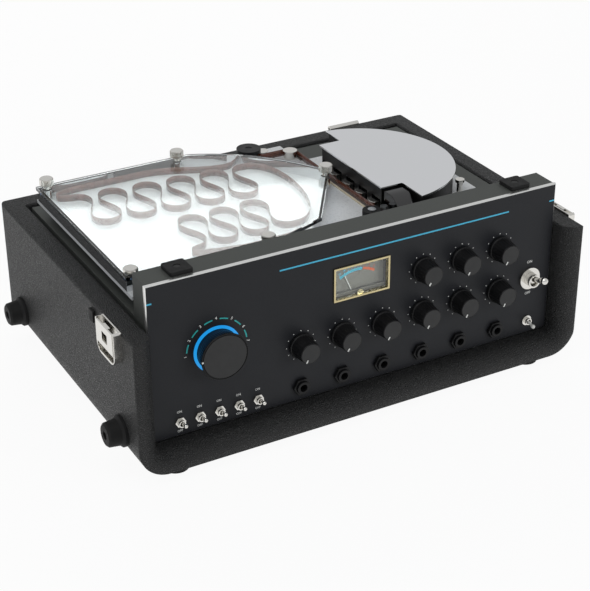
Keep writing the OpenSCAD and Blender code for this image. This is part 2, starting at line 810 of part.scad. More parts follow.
// Bush with a blind bore for the lever, body behind the panel and nut in front of it
module toggle_switch(bushing_r, bore_r, mouth, body) {
  front = -panel_t - sheet;
  difference() {
    union() {
      rod(bushing_r, front - 1, mouth);
      translate([-body.x / 2, -body.y / 2, front - body.z]) cube([body.x, body.y, body.z - fit]);
    }
    rod(bore_r, -0.5, mouth + past);
  }
}
module toggle_switches() {
  small_body = [6.9, 13, 9];
  power_body = [18, 30, 20];
  nut_r = 4.6;
  color(chrome) {
    for (i = [0 : small_switches - 1]) out_of_panel([first_switch_x + i * switch_pitch, small_switch_z]) {
      toggle_switch(mini_r, mini_bore_r, mini_mouth, small_body);
      difference() {
        translate([0, 0, fit]) cylinder(r = nut_r, h = nut_t, $fn = 6);
        rod(mini_r + fit, -past, nut_t + past);
      }
    }
    out_of_panel([right_switch_x, level_switch_z]) {
      toggle_switch(mini_r, mini_bore_r, mini_mouth, small_body);
      tube(nut_r, mini_r + fit, fit, nut_t);
    }
    out_of_panel([right_switch_x, power_switch_z]) {
      toggle_switch(power_r, power_bore_r, power_mouth, power_body);
      tube(power_r + 4, power_r + fit, fit, 2.5);
    }
  }
}

module jack_sockets() {
  body = [18, 20];
  body_end = 30;
  nut_r = 8;
  nut = 3;
  front = -panel_t - sheet;
  for (i = [0 : jack_columns - 1]) out_of_panel([column(i), jack_z]) {
    color(plastic_black) difference() {
      union() {
        translate([-body.x / 2, -body.y / 2, -body_end]) cube([body.x, body.y, body_end + front - fit]);
        rod(jack_bush_r, front - 1, jack_mouth);
      }
      rod(jack_r, -jack_depth, jack_mouth + past);
    }
    color(rubber) difference() {
      translate([0, 0, fit]) cylinder(r = nut_r, h = nut, $fn = 6);
      rod(jack_bush_r + fit, -past, nut + past);
    }
  }
}

// ---- Meter ----

module meter_bezel() {
  neck = [meter_w - meter_edge - 2 * fit, meter_h - meter_edge - 2 * fit];
  window = [meter_w - 2 * meter_edge, meter_h - 2 * meter_edge];
  proud = 1.5;
  boss_r = 3;
  color(brass) at_panel() translate([meter_x, 0, meter_z]) rotate([90, 0, 0]) {
    difference() {
      union() {
        translate([-meter_w / 2, -meter_h / 2, fit]) cube([meter_w, meter_h, proud]);
        translate([-neck.x / 2, -neck.y / 2, -panel_t]) cube([neck.x, neck.y, panel_t + proud]);
      }
      translate([-window.x / 2, -window.y / 2, -panel_t - past]) cube([window.x, window.y, panel_t + proud + 2 * past]);
    }
    intersection() {
      translate([0, -window.y / 2, -panel_t]) cylinder(r = boss_r, h = 1.2);
      translate([-window.x / 2, -window.y / 2 - meter_edge / 4, -panel_t - past]) cube([window.x, window.y, panel_t]);
    }
  }
}

// Housing behind the window, with the dial plate, the ledge that hides the movement and its pivot post
module meter_body() {
  low = [meter_x - meter_body_w / 2, inside_y, meter_body_top - meter_body_h];
  high = [meter_x + meter_body_w / 2, inside_y + meter_body_l, meter_body_top];
  wall = [meter_wall, meter_wall, meter_wall];
  ledge_z = meter_z - meter_h / 2 + meter_edge + 2.6;
  plate_t = 1;
  post_r = 2.5;
  pivot_hole_r = 0.8;
  at_panel() {
    color(plastic_black) difference() {
      block(low, high);
      block([low.x + meter_wall, low.y - past, low.z + meter_wall], high - wall);
    }
    color(plastic_black)
      block([low.x + meter_wall, low.y + 0.2, low.z + meter_wall], [high.x - meter_wall, low.y + 1, ledge_z]);
    color([0.55, 0.55, 0.52])
      block([low.x + meter_wall, meter_dial_y, low.z + meter_wall], [high.x - meter_wall, meter_dial_y + plate_t, high.z - meter_wall]);
    color(brass) translate([meter_x, meter_dial_y, meter_pivot_z]) rotate([90, 0, 0]) rod(pivot_hole_r, 0, 2.4);
    color(brass) translate([meter_x, meter_dial_y, meter_pivot_z]) rotate([90, 0, 0]) tube(post_r, pivot_hole_r, 0, 0.8);
  }
}

module meter_needle() {
  hub_r = 2.2;
  hole_r = 0.8 + fit;
  needle_y = meter_dial_y - 1.3;
  color([0.85, 0.85, 0.82]) at_panel() translate([meter_x, needle_y, meter_pivot_z]) rotate([90, 0, 0]) {
    tube(hub_r, hole_r, -0.3, 0.5);
    rotate(90 + needle_rest) translate([hub_r - 0.3, -0.3, -0.2]) cube([needle_l - hub_r, 0.6, 0.4]);
  }
}

module meter_window() {
  window = [meter_w - 2 * meter_edge - 2 * fit, meter_h - 2 * meter_edge - 2 * fit];
  glass_y = 0.3;
  glass_t = 1;
  color([0.85, 0.92, 0.95, 0.3]) at_panel()
    translate([meter_x - window.x / 2, glass_y, meter_z - window.y / 2]) cube([window.x, glass_t, window.y]);
}

// ---- Decks and tape chamber ----

bearing_r = 5;
motor_boss_r = 5;
module transport_deck() {
  slot_side = axle_r + 0.8;
  slot_travel = norm(pinch_place - arm_pivot) * sin(pinch_swing) + 0.5;
  color(white_paint) at_panel() difference() {
    translate([0, 0, deck_under_z]) linear_extrude(deck_t) polygon([
      [deck_left_x, deck_front_y], [deck_right_x, deck_front_y], [deck_right_x, deck_rear_y],
      [deck_step_x, deck_rear_y], [deck_step_x, deck_step_y], [deck_left_x, deck_step_y]
    ]);
    translate(capstan_place) rod(bearing_r + fit, deck_under_z - past, deck_z + past);
    block(
      [pinch_x - slot_side - slot_travel, nip_y - slot_side - 0.6, deck_under_z - past],
      [pinch_x + slot_side, nip_y + slot_side, deck_z + past]);
  }
}

module deck_standoffs() {
  color(chrome) at_panel() for (place = STANDOFFS)
    translate(place) rod(4, chassis_deck_z, deck_under_z);
}

// Opening in the chamber's frame for the tape, at a gate
module gate_waste(place, heading) {
  translate([place.x, place.y, deck_z - past]) rotate(heading)
    translate([-2 * frame_t, -gate_w / 2, 0]) cube([4 * frame_t, gate_w, cover_under_z - deck_z + 2 * past]);
}

pillar_r = 4;
screw_r = 2;
module chamber_frame() {
  h = cover_under_z - deck_z;
  outline = chamber_outline();
  color(chrome) at_panel() difference() {
    union() {
      translate([0, 0, deck_z]) linear_extrude(h) difference() {
        polygon(inset(outline, cover_overhang));
        polygon(inset(outline, cover_overhang + frame_t));
      }
      for (place = THUMBSCREWS) translate(place) rod(pillar_r, deck_z, cover_under_z);
    }
    gate_waste(front_gate, -70);
    gate_waste(rear_gate, 53);
    for (place = THUMBSCREWS) translate(place) rod(screw_r + fit, cover_under_z - 7, cover_under_z + past);
  }
}

module chamber_cover() {
  color([0.85, 0.92, 0.98, 0.35]) at_panel() difference() {
    translate([0, 0, cover_under_z]) linear_extrude(cover_t) polygon(chamber_outline());
    for (place = THUMBSCREWS) translate(place) rod(screw_r + fit, cover_under_z - past, cover_z + past);
  }
}

// Knurled thumbscrews; three of them stand on a neck
module cover_screws() {
  head_h = 6.5;
  short_head_h = 4;
  neck_r = 3.4;
  neck_h = 3;
  chamfer = 0.6;
  color(chrome) at_panel() for (i = [0 : len(THUMBSCREWS) - 1]) {
    tall = len(search(i, TALL_THUMBSCREWS)) > 0;
    neck = tall ? neck_h : 0;
    head = tall ? head_h : short_head_h;
    translate([THUMBSCREWS[i].x, THUMBSCREWS[i].y, cover_z]) {
      rod(screw_r, cover_under_z - cover_z - 6, neck + 0.5);
      rod(neck_r, 0, neck + 0.1);
      translate([0, 0, neck]) rotate_extrude() polygon([
        [0, 0], [thumbscrew_d / 2 - chamfer, 0], [thumbscrew_d / 2, chamfer],
        [thumbscrew_d / 2, head - chamfer], [thumbscrew_d / 2 - chamfer, head], [0, head]
      ]);
    }
  }
}

// ---- Tape ----

// Heading of the straight run between two rollers, each [centre, radius],
// with the radius negative where the tape keeps the roller on its right
function run_heading(from, to) =
  let (d = to[0] - from[0])
  atan2(d.y, d.x) - asin((to[1] - from[1]) / norm(d));

// Point where a run with a heading touches a roller
function touch(roller, heading) = roller[0] + roller[1] * dir(heading - 90);

// Points round a roller while the heading turns from one run to the next
function wrap(roller, heading_in, heading_out, steps) =
  let (turn = roller[1] > 0 ? positive(heading_out - heading_in) : -positive(heading_in - heading_out))
  [for (i = [0 : steps]) touch(roller, heading_in + turn * i / steps)];

// A smooth bend from a to b, without its end points
function bend(a, heading_a, b, heading_b, pull, steps) =
  let (c = a + pull * dir(heading_a), d = b - pull * dir(heading_b))
  [for (i = [1 : steps - 1])
    let (t = i / steps, u = 1 - t)
    u * u * u * a + 3 * u * u * t * c + 3 * u * t * t * d + t * t * t * b];

// A row of waves from a to b, in which the heading swings evenly to either side
function wave_row(a, b, waves, swing, per_wave) =
  let (
    n = round(waves * per_wave),
    raw = [for (i = 0, p = [0, 0]; i <= n; p = p + dir(swing * sin(360 * (i + 0.5) / per_wave)), i = i + 1) p],
    reach = raw[n],
    size = norm(b - a) / norm(reach),
    turn = atan2(b.y - a.y, b.x - a.x) - atan2(reach.y, reach.x)
  )
  [for (p = raw) a + size * turned(p, turn)];

// Heading of the last step of a run of points
function end_heading(points) =
  let (d = points[len(points) - 1] - points[len(points) - 2]) atan2(d.y, d.x);
function start_heading(points) =
  let (d = points[1] - points[0]) atan2(d.y, d.x);

// The loop in order: over the idler and guides, down past the heads, through the nip,
// in at the front gate, then waves, and out at the rear gate
per_wave = 40;
ring = 10;
route = [
  [rear_gate, 0],
  [IDLER[0], -IDLER[1] - guide_side],
  [TENSION_GUIDE[0], TENSION_GUIDE[1] + guide_side],
  [REAR_GUIDE[0], -REAR_GUIDE[1] - guide_side],
  [FRONT_GUIDE[0], -FRONT_GUIDE[1] - guide_side],
  [front_gate, 0]
];
headings = [for (i = [0 : len(route) - 2]) run_heading(route[i], route[i + 1])];
guided = [for (i = [1 : len(route) - 2]) each wrap(route[i], headings[i - 1], headings[i], ring)];
front_row = wave_row([78, 70], [164, 71], 3, tape_swing, per_wave);
rear_row = wave_row([179, 195], [26, 208], 5, tape_swing, per_wave);
return_start = [40, chamber_back.y - cover_overhang - frame_t - 3];
return_end = [100, return_start.y];
function tape_points() = concat(
  guided,
  [front_gate],
  bend(front_gate, headings[4], [120, 52.5], 180, 18, 6),
  [[120, 52.5]],
  bend([120, 52.5], 180, front_row[0], start_heading(front_row), 26, 12),
  front_row,
  bend(front_row[len(front_row) - 1], end_heading(front_row), rear_row[0], start_heading(rear_row), 42, 16),
  rear_row,
  bend(rear_row[len(rear_row) - 1], end_heading(rear_row), return_start, 0, 24, 10),
  [return_start, return_end],
  bend(return_end, 0, rear_gate, headings[0], 26, 8),
  [rear_gate]
);

// Distance from point p to the piece from a to b
function to_piece(p, a, b) =
  let (ab = b - a, t = max(0, min(1, (p - a) * ab / (ab * ab)))) norm(p - a - t * ab);

// Least distance between parts of a closed run of points that lie more than `apart` steps from each other
function least_distance(points, apart) =
  let (n = len(points))
  min([for (i = [0 : n - 1], j = [i + apart : n - 1])
    if (n + i - j > apart) to_piece(points[i], points[j], points[(j + 1) % n])]);

// The closed run moved sideways by d
function beside(points, d) =
  let (n = len(points))
  [for (i = [0 : n - 1])
    let (along = points[(i + 1) % n] - points[(i + n - 1) % n])
    points[i] + d * [-along.y, along.x] / norm(along)];

module tape_loop() {
  points = tape_points();
  echo(tape_loop_points = len(points), least_gap_to_itself = least_distance(points, 9) - tape_t);
  color([0.32, 0.17, 0.12]) at_panel() translate([0, 0, tape_z]) linear_extrude(tape_w) difference() {
    polygon(beside(points, tape_t / 2));
    polygon(beside(points, -tape_t / 2));
  }
}

// ---- Head assembly ----

// The D shape with its two notches, moved inwards by d
module head_cover_shape(d) {
  reach = 2 * cover_r;
  difference() {
    translate(cover_centre) circle(cover_r - d, $fn = 96);
    translate([cover_left_x + d - reach, cover_centre.y - reach / 2]) square([reach, reach]);
    translate([cover_left_x - past, front_notch_y + d - reach]) square([notch_right_x - cover_left_x + past + d, reach]);
    translate([cover_left_x - past, rear_notch_y - d]) square([notch_right_x - cover_left_x + past + d, reach]);
  }
}

module head_cover() {
  color(aluminium) at_panel() translate([0, 0, -head_cover_t]) linear_extrude(head_cover_t) head_cover_shape(0);
}

// Walls under the head cover, with a window at each head
module head_housing() {
  window_h = head_h + 2;
  color(plastic_black) at_panel() difference() {
    translate([0, 0, deck_z]) linear_extrude(-head_cover_t - deck_z) difference() {
      head_cover_shape(housing_inset);
      head_cover_shape(housing_inset + housing_wall);
    }
    for (y = HEADS)
      block([cover_left_x, y - head_w / 2 - 1, deck_z - past], [cover_left_x + 8, y + head_w / 2 + 1, deck_z + window_h]);
  }
}

// Erase, record and three playback heads on their bracket
module tape_heads() {
  face_r = 10;
  bracket_t = 3;
  face_x = tape_x + tape_side + 0.1;
  at_panel() {
    color(chrome) for (y = HEADS) translate([0, 0, tape_z - running / 2]) {
      intersection() {
        block([face_x - past, y - head_w / 2, 0], [head_back_x, y + head_w / 2, head_h]);
        union() {
          translate([face_x + face_r, y, 0]) cylinder(r = face_r, h = head_h);
          block([face_x + 6, y - head_w / 2, 0], [head_back_x, y + head_w / 2, head_h]);
        }
      }
    }
    color(aluminium)
      block([head_back_x + fit, HEADS[4] - head_w / 2, deck_z], [head_back_x + bracket_t, HEADS[0] + head_w / 2, deck_z + head_h + 2]);
  }
}

// Moulded cover beside the capstan, in the front notch of the head cover
module drive_cover() {
  x0 = max(cover_left_x + 2.5, capstan_x + capstan_d / 2 + 0.8);
  color(plastic_black) at_panel() translate([x0, 0, 0]) rotate([90, 0, 90])
    linear_extrude(notch_right_x - 1 - x0) polygon([
      [38, deck_z], [front_notch_y - 1, deck_z], [front_notch_y - 1, -3], [52, -3], [38, -11]
    ]);
}

// ---- Drive ----

module capstan() {
  groove = belt + 0.4;
  groove_r = belt_on_wheel - belt / 2 - fit;
  color(chrome) at_panel() translate(capstan_place) {
    rod(capstan_d / 2, chassis_deck_z - 7.5, cover_under_z);
    difference() {
      rod(flywheel_d / 2, flywheel_z, flywheel_z + flywheel_t);
      translate([0, 0, flywheel_z + (flywheel_t - groove) / 2])
        tube(flywheel_d / 2 + past, groove_r, 0, groove);
    }
  }
}

// Bronze bushes in the two decks
module capstan_bearings() {
  color(brass) at_panel() translate(capstan_place) {
    tube(bearing_r, capstan_d / 2 + fit, chassis_deck_z - 6, chassis_deck_z + 0.2);
    tube(bearing_r, capstan_d / 2 + fit, deck_under_z - 0.3, deck_z - fit);
  }
}

module drive_motor() {
  top = chassis_deck_z - sheet;
  shaft = 1.5;
  color(steel_grey) at_panel() translate(motor_place) difference() {
    union() {
      rod(motor_d / 2, top - motor_l, top);
      rod(motor_boss_r, top - 1, chassis_deck_z - 0.1);
    }
    rod(shaft + fit, top - 9, chassis_deck_z);
  }
}

module motor_pulley() {
  top = chassis_deck_z - sheet;
  groove = belt + 0.4;
  groove_r = belt_on_pulley - belt / 2 - fit;
  color(brass) at_panel() translate(motor_place) {
    rod(1.5, top - 8, flywheel_z + 1);
    difference() {
      rod(pulley_d / 2, flywheel_z, flywheel_z + flywheel_t);
      translate([0, 0, flywheel_z + (flywheel_t - groove) / 2])
        tube(pulley_d / 2 + past, groove_r, 0, groove);
    }
  }
}

// Outline of the belt round flywheel and pulley, at a distance from its middle line
function belt_outline(d) =
  let (
    wheels = [[capstan_place, belt_on_wheel + d], [motor_place, belt_on_pulley + d]],
    there = run_heading(wheels[0], wheels[1]),
    back = run_heading(wheels[1], wheels[0])
  )
  concat(wrap(wheels[1], there, back, 12), wrap(wheels[0], back, there, 36));

module drive_belt() {
  color(rubber) at_panel() translate([0, 0, belt_z]) linear_extrude(belt) difference() {
    polygon(belt_outline(belt / 2));
    polygon(belt_outline(-belt / 2));
  }
}

module pinch_roller() {
  color(rubber) at_panel() translate(pinch_place) tube(pinch_d / 2, axle_r + fit, deck_z + 0.4, deck_z + 8.8);
}

// Arm between the decks, with the roller's axle and clip, turning on a stud under the transport deck
module pinch_arm() {
  reach = pinch_place - arm_pivot;
  hole_r = 2;
  color(chrome) at_panel() {
    difference() {
      union() {
        translate(arm_pivot) rod(4.5, arm_z, arm_z + arm_t);
        translate(pinch_place) rod(4, arm_z, arm_z + arm_t);
        translate(arm_pivot) rotate(atan2(reach.y, reach.x))
          translate([0, -arm_half_w, arm_z]) cube([norm(reach), 2 * arm_half_w, arm_t]);
      }
      translate(arm_pivot) rod(hole_r + fit, arm_z - past, arm_z + arm_t + past);
      translate([arm_tail_x, arm_tail_y]) rod(1.6, arm_z - past, arm_z + arm_t + past);
    }
    translate(pinch_place) {
      rod(axle_r, arm_z + arm_t - 0.5, deck_z + 9.6);
      rod(axle_r + 1.5, deck_z + 9, deck_z + 9.6);
      rod(axle_r + 1.2, arm_z + arm_t, deck_under_z - 0.4);
    }
  }
}

// Coil and frame between the decks, with the arm's stud
module solenoid() {
  low = [solenoid_x, arm_tail_y - solenoid_w / 2, chassis_deck_z];
  high = [solenoid_x + solenoid_l, arm_tail_y + solenoid_w / 2, plunger_z + plunger_r + 1.1];
  stud_r = 2;
  color(steel_grey) at_panel() difference() {
    block(low, high);
    translate([solenoid_x + 6, arm_tail_y, plunger_z]) rotate([0, 90, 0]) cylinder(r = plunger_r + fit, h = solenoid_l);
  }
  color(chrome) at_panel() translate(arm_pivot) {
    rod(stud_r, arm_z - 1, deck_under_z);
    rod(stud_r + 1.2, arm_z - 0.9, arm_z - 0.1);
    rod(stud_r + 1.2, arm_z + arm_t + 0.1, deck_under_z);
  }
}

// Plunger with a tongue over the arm and a pin through its tail
module solenoid_plunger() {
  travel = 2.2;
  step_x = arm_tail_x - arm_half_w - 6;
  tongue_z = arm_z + arm_t + 0.3;
  color(chrome) at_panel() {
    translate([solenoid_x + 6 + travel, arm_tail_y, plunger_z])
      rotate([0, 90, 0]) cylinder(r = plunger_r, h = step_x - solenoid_x - 6 - travel);
    block([step_x - 1, arm_tail_y - 2, plunger_z - plunger_r], [step_x + 1.5, arm_tail_y + 2, tongue_z + 1]);
    block([step_x, arm_tail_y - 2, tongue_z], [arm_tail_x + 2, arm_tail_y + 2, tongue_z + 1]);
    translate([arm_tail_x, arm_tail_y]) rod(1, arm_z + 0.2, tongue_z + 0.5);
  }
}

// Fixed posts that the tape slides over, the idler's spindle, a pillar by the head cover and the felt strip
module tape_guides() {
  flange = 1;
  flange_t = 0.6;
  spindle_r = 2;
  pillar = cover_centre + (cover_r + 4) * dir(-36.2);
  at_panel() {
    color(chrome) {
      for (guide = [REAR_GUIDE, TENSION_GUIDE, FRONT_GUIDE]) translate(guide[0]) {
        rod(guide[1], deck_z, guide_top - flange_t / 2);
        rod(guide[1] + flange, guide_top - flange_t, guide_top);
      }
      translate(IDLER[0]) rod(spindle_r, deck_z, idler_bore_z - running);
      translate(pillar) {
        rod(2.5, deck_z, -12);
        rod(4, -12.1, -9.5);
      }
    }
    color([0.86, 0.8, 0.7])
      block([tape_x - 2.6, 72, deck_z], [tape_x - 0.8, 160, deck_z + 1.2]);
  }
}

// Roller and its round cap, turning on the spindle
module exit_idler() {
  spindle_r = 2;
  cap_h = 3.2;
  dimple_r = 3;
  color(plastic_black) at_panel() translate(IDLER[0]) difference() {
    union() {
      rod(IDLER[1], tape_z, idler_cap_z + 0.1);
      rod(idler_cap_d / 2, idler_cap_z, idler_cap_z + cap_h);
    }
    rod(spindle_r + fit, deck_z, idler_bore_z);
    rod(dimple_r, idler_cap_z + cap_h - 0.6, idler_cap_z + cap_h + past);
  }
}

// ---- Inside the chassis ----

// Corners of the reverb tank, off the end and the back of the chassis
tank_high = [panel_w - chassis_x - sheet - 26, chassis_rear_y - 10];
tank_low = [112, tank_high.y - 60];

// Main board on its pillars, with the mains transformer beside it
module circuit_board() {
  board_low = [24, 52, chassis_z + 8];
  board_size = [motor_place.x - 31 - board_low.x, tank_low.y - 14 - board_low.y, 1.6];
  pillar_in = 6;
  can_r = 5;
  core = [58, 42, 46];
  bobbin = [40, 56, 34];
  core_place = [62, tank_high.y - 31, chassis_z];
  at_panel() {
    color([0.1, 0.35, 0.2]) translate(board_low) cube(board_size);
    color(brass) for (x = [pillar_in, board_size.x - pillar_in], y = [pillar_in, board_size.y - pillar_in])
      translate([board_low.x + x, board_low.y + y]) rod(3, chassis_z, board_low.z);
    color(plastic_black) for (i = [0 : 3])
      translate([board_low.x + 30 + i * 16, board_low.y + 84, board_low.z + board_size.z]) rod(can_r, 0, 18);
    color(steel_grey) translate([core_place.x - core.x / 2, core_place.y - core.y / 2, core_place.z]) cube(core);
    color(brass) translate([core_place.x - bobbin.x / 2, core_place.y - bobbin.y / 2, core_place.z + (core.z - bobbin.z) / 2])
      difference() {
        cube(bobbin);
        translate([-past, (bobbin.y - core.y) / 2 - fit, -past]) cube([bobbin.x + 2 * past, core.y + 2 * fit, bobbin.z + 2 * past]);
      }
  }
}

// Spring reverb pan under its lid, with two springs between their end blocks
module reverb_tank() {
  low = [tank_low.x, tank_low.y, chassis_z];
  size = [tank_high.x - tank_low.x, tank_high.y - tank_low.y, 32];
  wall = 1;
  lid = 1;
  spring_r = 2.2;
  end_block = [14, 40, 16];
  inner = [size.x - 2 * wall, size.y - 2 * wall, size.z];
  at_panel() translate(low) {
    color(steel_grey) difference() {
      cube(size);
      translate([wall, wall, wall]) cube(inner);
    }
    color(steel_grey) translate([0, 0, size.z + fit]) cube([size.x, size.y, lid]);
    color(plastic_black) for (x = [wall, size.x - wall - end_block.x])
      translate([x, (size.y - end_block.y) / 2, wall]) cube(end_block);
    color(chrome) for (y = [-9, 9])
      translate([wall + end_block.x, size.y / 2 + y, wall + end_block.z / 2])
        rotate([0, 90, 0]) cylinder(r = spring_r, h = size.x - 2 * wall - 2 * end_block.x);
  }
}

cabinet();
bottom_feet();
side_feet();
lid_hardware();
left_latch_lever();
right_latch_lever();
carry_handle();
mains_inlet();
front_panel();
chassis();
chassis_base();
lid_pads();
mode_knob();
mode_light_ring();
input_volume_knob();
chorus_rate_knob();
chorus_depth_knob();
reverb_volume_knob();
tape_speed_knob();
echo_volume_knob();
bass_knob();
treble_knob();
feedback_knob();
potentiometers();
direct_switch_lever();
motor_switch_lever();
overdub_switch_lever();
echo_switch_lever();
chorus_switch_lever();
power_switch_lever();
level_switch_lever();
toggle_switches();
jack_sockets();
meter_bezel();
meter_body();
meter_needle();
meter_window();
transport_deck();
deck_standoffs();
chamber_frame();
chamber_cover();
cover_screws();
tape_loop();
head_housing();
head_cover();
tape_heads();
drive_cover();
capstan();
capstan_bearings();
drive_motor();
motor_pulley();
drive_belt();
pinch_roller();
pinch_arm();
solenoid();
solenoid_plunger();
tape_guides();
exit_idler();
circuit_board();
reverb_tank();
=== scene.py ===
# %% [markdown]
# # A tape echo unit
#
# A tape echo unit records sound on a loose loop of tape and plays it back a moment later.
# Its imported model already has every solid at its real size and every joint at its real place.
# This lesson gives it its looks: printed and plated finishes, rounded edges, knurls, a thin glossy
# tape, the dial of the meter, and a studio to photograph it in.
#
# Lengths in the comments and in most values are millimetres. Places are measured as the front panel
# is drawn: x to the right of its left edge, y behind its face and z above its top edge.

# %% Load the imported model
import json
import math

import bmesh
import bpy
from mathutils import Matrix, Vector


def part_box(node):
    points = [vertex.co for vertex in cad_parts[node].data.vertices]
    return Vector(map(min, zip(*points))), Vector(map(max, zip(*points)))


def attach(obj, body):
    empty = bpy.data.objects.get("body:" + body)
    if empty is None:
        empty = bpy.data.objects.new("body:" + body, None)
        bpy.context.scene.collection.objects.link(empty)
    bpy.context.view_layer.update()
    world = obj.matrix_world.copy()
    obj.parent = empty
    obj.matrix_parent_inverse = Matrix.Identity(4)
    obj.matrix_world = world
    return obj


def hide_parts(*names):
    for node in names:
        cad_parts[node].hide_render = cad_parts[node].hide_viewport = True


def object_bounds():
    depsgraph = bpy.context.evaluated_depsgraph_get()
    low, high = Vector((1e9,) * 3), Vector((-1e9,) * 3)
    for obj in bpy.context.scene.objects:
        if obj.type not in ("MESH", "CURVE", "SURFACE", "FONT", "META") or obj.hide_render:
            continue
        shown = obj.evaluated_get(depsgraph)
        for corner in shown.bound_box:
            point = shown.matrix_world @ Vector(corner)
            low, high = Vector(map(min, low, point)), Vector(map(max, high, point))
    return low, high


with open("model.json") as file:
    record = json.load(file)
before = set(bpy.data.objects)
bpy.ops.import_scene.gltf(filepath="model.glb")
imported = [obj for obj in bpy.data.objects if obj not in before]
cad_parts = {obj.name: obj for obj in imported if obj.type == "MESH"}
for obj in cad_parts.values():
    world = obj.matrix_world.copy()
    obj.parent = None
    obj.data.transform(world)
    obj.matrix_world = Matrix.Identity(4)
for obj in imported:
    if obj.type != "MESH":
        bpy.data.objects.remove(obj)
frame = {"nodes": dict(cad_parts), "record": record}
cad_low, cad_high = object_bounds()
scene = bpy.context.scene
MM = 0.001
print("CAD box, mm:", [round(1000 * s, 1) for s in cad_high - cad_low])

# %% [markdown]
# ## Places
#
# Nearly everything on the unit lines up with its front panel, so one function turns a place on the
# drawing of that panel into a place in the model. Another turns a whole shape, modelled upright on
# the drawing table, so that its top faces out of the panel. A node belongs to one moving body, and
# a piece that dresses the node has to ride on the same one.

# %% Places on the panel
panel_low, panel_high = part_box("front_panel")
body_of = {node: body for body, nodes in frame["record"]["behaviour"]["bodies"].items() for node in nodes}


def at(x, y, z):
    """A place in millimetres from the panel's top left corner"""
    return Vector((panel_low.x + x * MM, panel_low.y + y * MM, panel_high.z + z * MM))


def upright(x, y, z):
    """Moves a shape to a place, standing as it was modelled"""
    return Matrix.Translation(at(x, y, z))


def facing_out(x, z, y=0):
    """Moves a shape to a place on the panel, with its top turned to the front"""
    return Matrix.Translation(at(x, y, z)) @ Matrix.Rotation(math.radians(90), 4, "X")


def measured(node):
    """Lowest and highest corner of a node, in millimetres on the panel's drawing"""
    low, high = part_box(node)
    corner = at(0, 0, 0)
    return (low - corner) / MM, (high - corner) / MM


def middle_of(node):
    """The x and z of a node's middle on the panel"""
    low, high = measured(node)
    return (low.x + high.x) / 2, (low.z + high.z) / 2


SMALL_KNOBS = ("input_volume", "chorus_rate", "chorus_depth", "reverb_volume", "tape_speed", "echo_volume",
               "bass", "treble", "feedback")
SMALL_SWITCHES = ("direct", "motor", "overdub", "echo", "chorus")
print("panel, mm:", [round(s / MM, 1) for s in panel_high - panel_low])

# %% [markdown]
# ## Tools for shapes
#
# Every new shape starts in a bmesh. A turned part such as a knob or a screw head is half of its
# outline spun round an axis. No real edge is perfectly sharp, and the small round on it is what
# catches the light, so one function rounds every edge that is sharper than an angle. The last
# function makes the finished mesh a piece: it gives it its materials, shades it smooth up to the
# sharp edges and lets it ride on its body. Smooth shading alone would bend the reflections of a flat
# face near its rounds, so a Weighted Normal modifier lets the large faces decide.

# %% Turn, round and finish a shape
SHARP = math.radians(32)


def turned(outline, steps=64):
    """Spins half an outline of (radius, height) in millimetres round z"""
    work = bmesh.new()
    verts = [work.verts.new((radius * MM, 0, height * MM)) for radius, height in outline]
    edges = [work.edges.new(pair) for pair in zip(verts, verts[1:])]
    bmesh.ops.spin(work, geom=verts + edges, axis=(0, 0, 1), angle=math.tau, steps=steps, use_merge=True)
    bmesh.ops.remove_doubles(work, verts=work.verts, dist=0.001 * MM)
    bmesh.ops.recalc_face_normals(work, faces=work.faces)
    return work


def slab(width, depth, height, z=0):
    """A box in millimetres, centred in x and y, that stands on z"""
    work = bmesh.new()
    bmesh.ops.create_cube(work, size=1)
    bmesh.ops.scale(work, vec=(width * MM, depth * MM, height * MM), verts=work.verts)
    bmesh.ops.translate(work, vec=(0, 0, (z + height / 2) * MM), verts=work.verts)
    return work


def rounded(work, width, segments=2, sharper_than=SHARP):
    """Rounds the sharp edges of a shape by a width in millimetres"""
    edges = [e for e in work.edges if e.is_manifold and e.calc_face_angle() > sharper_than]
    bmesh.ops.bevel(work, geom=edges, offset=width * MM, offset_type="OFFSET", affect="EDGES",
                    segments=segments, profile=0.5, material=-1, clamp_overlap=True)
    return work


def joined(parts):
    """Several shapes as one"""
    whole = bmesh.new()
    for part in parts:
        mesh = bpy.data.meshes.new("part")
        part.to_mesh(mesh)
        part.free()
        whole.from_mesh(mesh)
        bpy.data.meshes.remove(mesh)
    return whole


def placed(work, matrix):
    """A shape moved by a matrix"""
    bmesh.ops.transform(work, matrix=matrix, verts=work.verts)
    return work


def piece(name, work, finishes, body, slot=None, stands_for=()):
    """Makes a shape a piece with one or more finishes that rides on a body"""
    mesh = bpy.data.meshes.new(name)
    work.to_mesh(mesh)
    work.free()
    for finish in finishes if isinstance(finishes, list) else [finishes]:
        mesh.materials.append(finish)
    mesh.polygons.foreach_set("use_smooth", [True] * len(mesh.polygons))
    mesh.set_sharp_from_angle(angle=SHARP)
    made = bpy.data.objects.new(name, mesh)
    scene.collection.objects.link(made)
    even = made.modifiers.new("even_shading", "WEIGHTED_NORMAL")
    even.keep_sharp, even.weight = True, 80
    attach(made, body)
    if stands_for:
        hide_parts(*stands_for)
    return made


# %% [markdown]
# ## Tools for finishes
#
# A finish is a small tree of nodes. One function adds a node with its settings, its values and its
# links, and another starts a material with the shader that every finish here uses. Colours are the
# hex values that a paint chart gives, and they are turned to the linear light that Blender adds up.
# Patterns read Object coordinates, which stay with a piece however it moves.

# %% Add nodes and start a material
def light(hex_colour):
    """An sRGB hex colour as linear light with alpha"""
    channels = [int(hex_colour[i:i + 2], 16) / 255 for i in (1, 3, 5)]
    return [c / 12.92 if c <= 0.04045 else ((c + 0.055) / 1.055) ** 2.4 for c in channels] + [1.0]


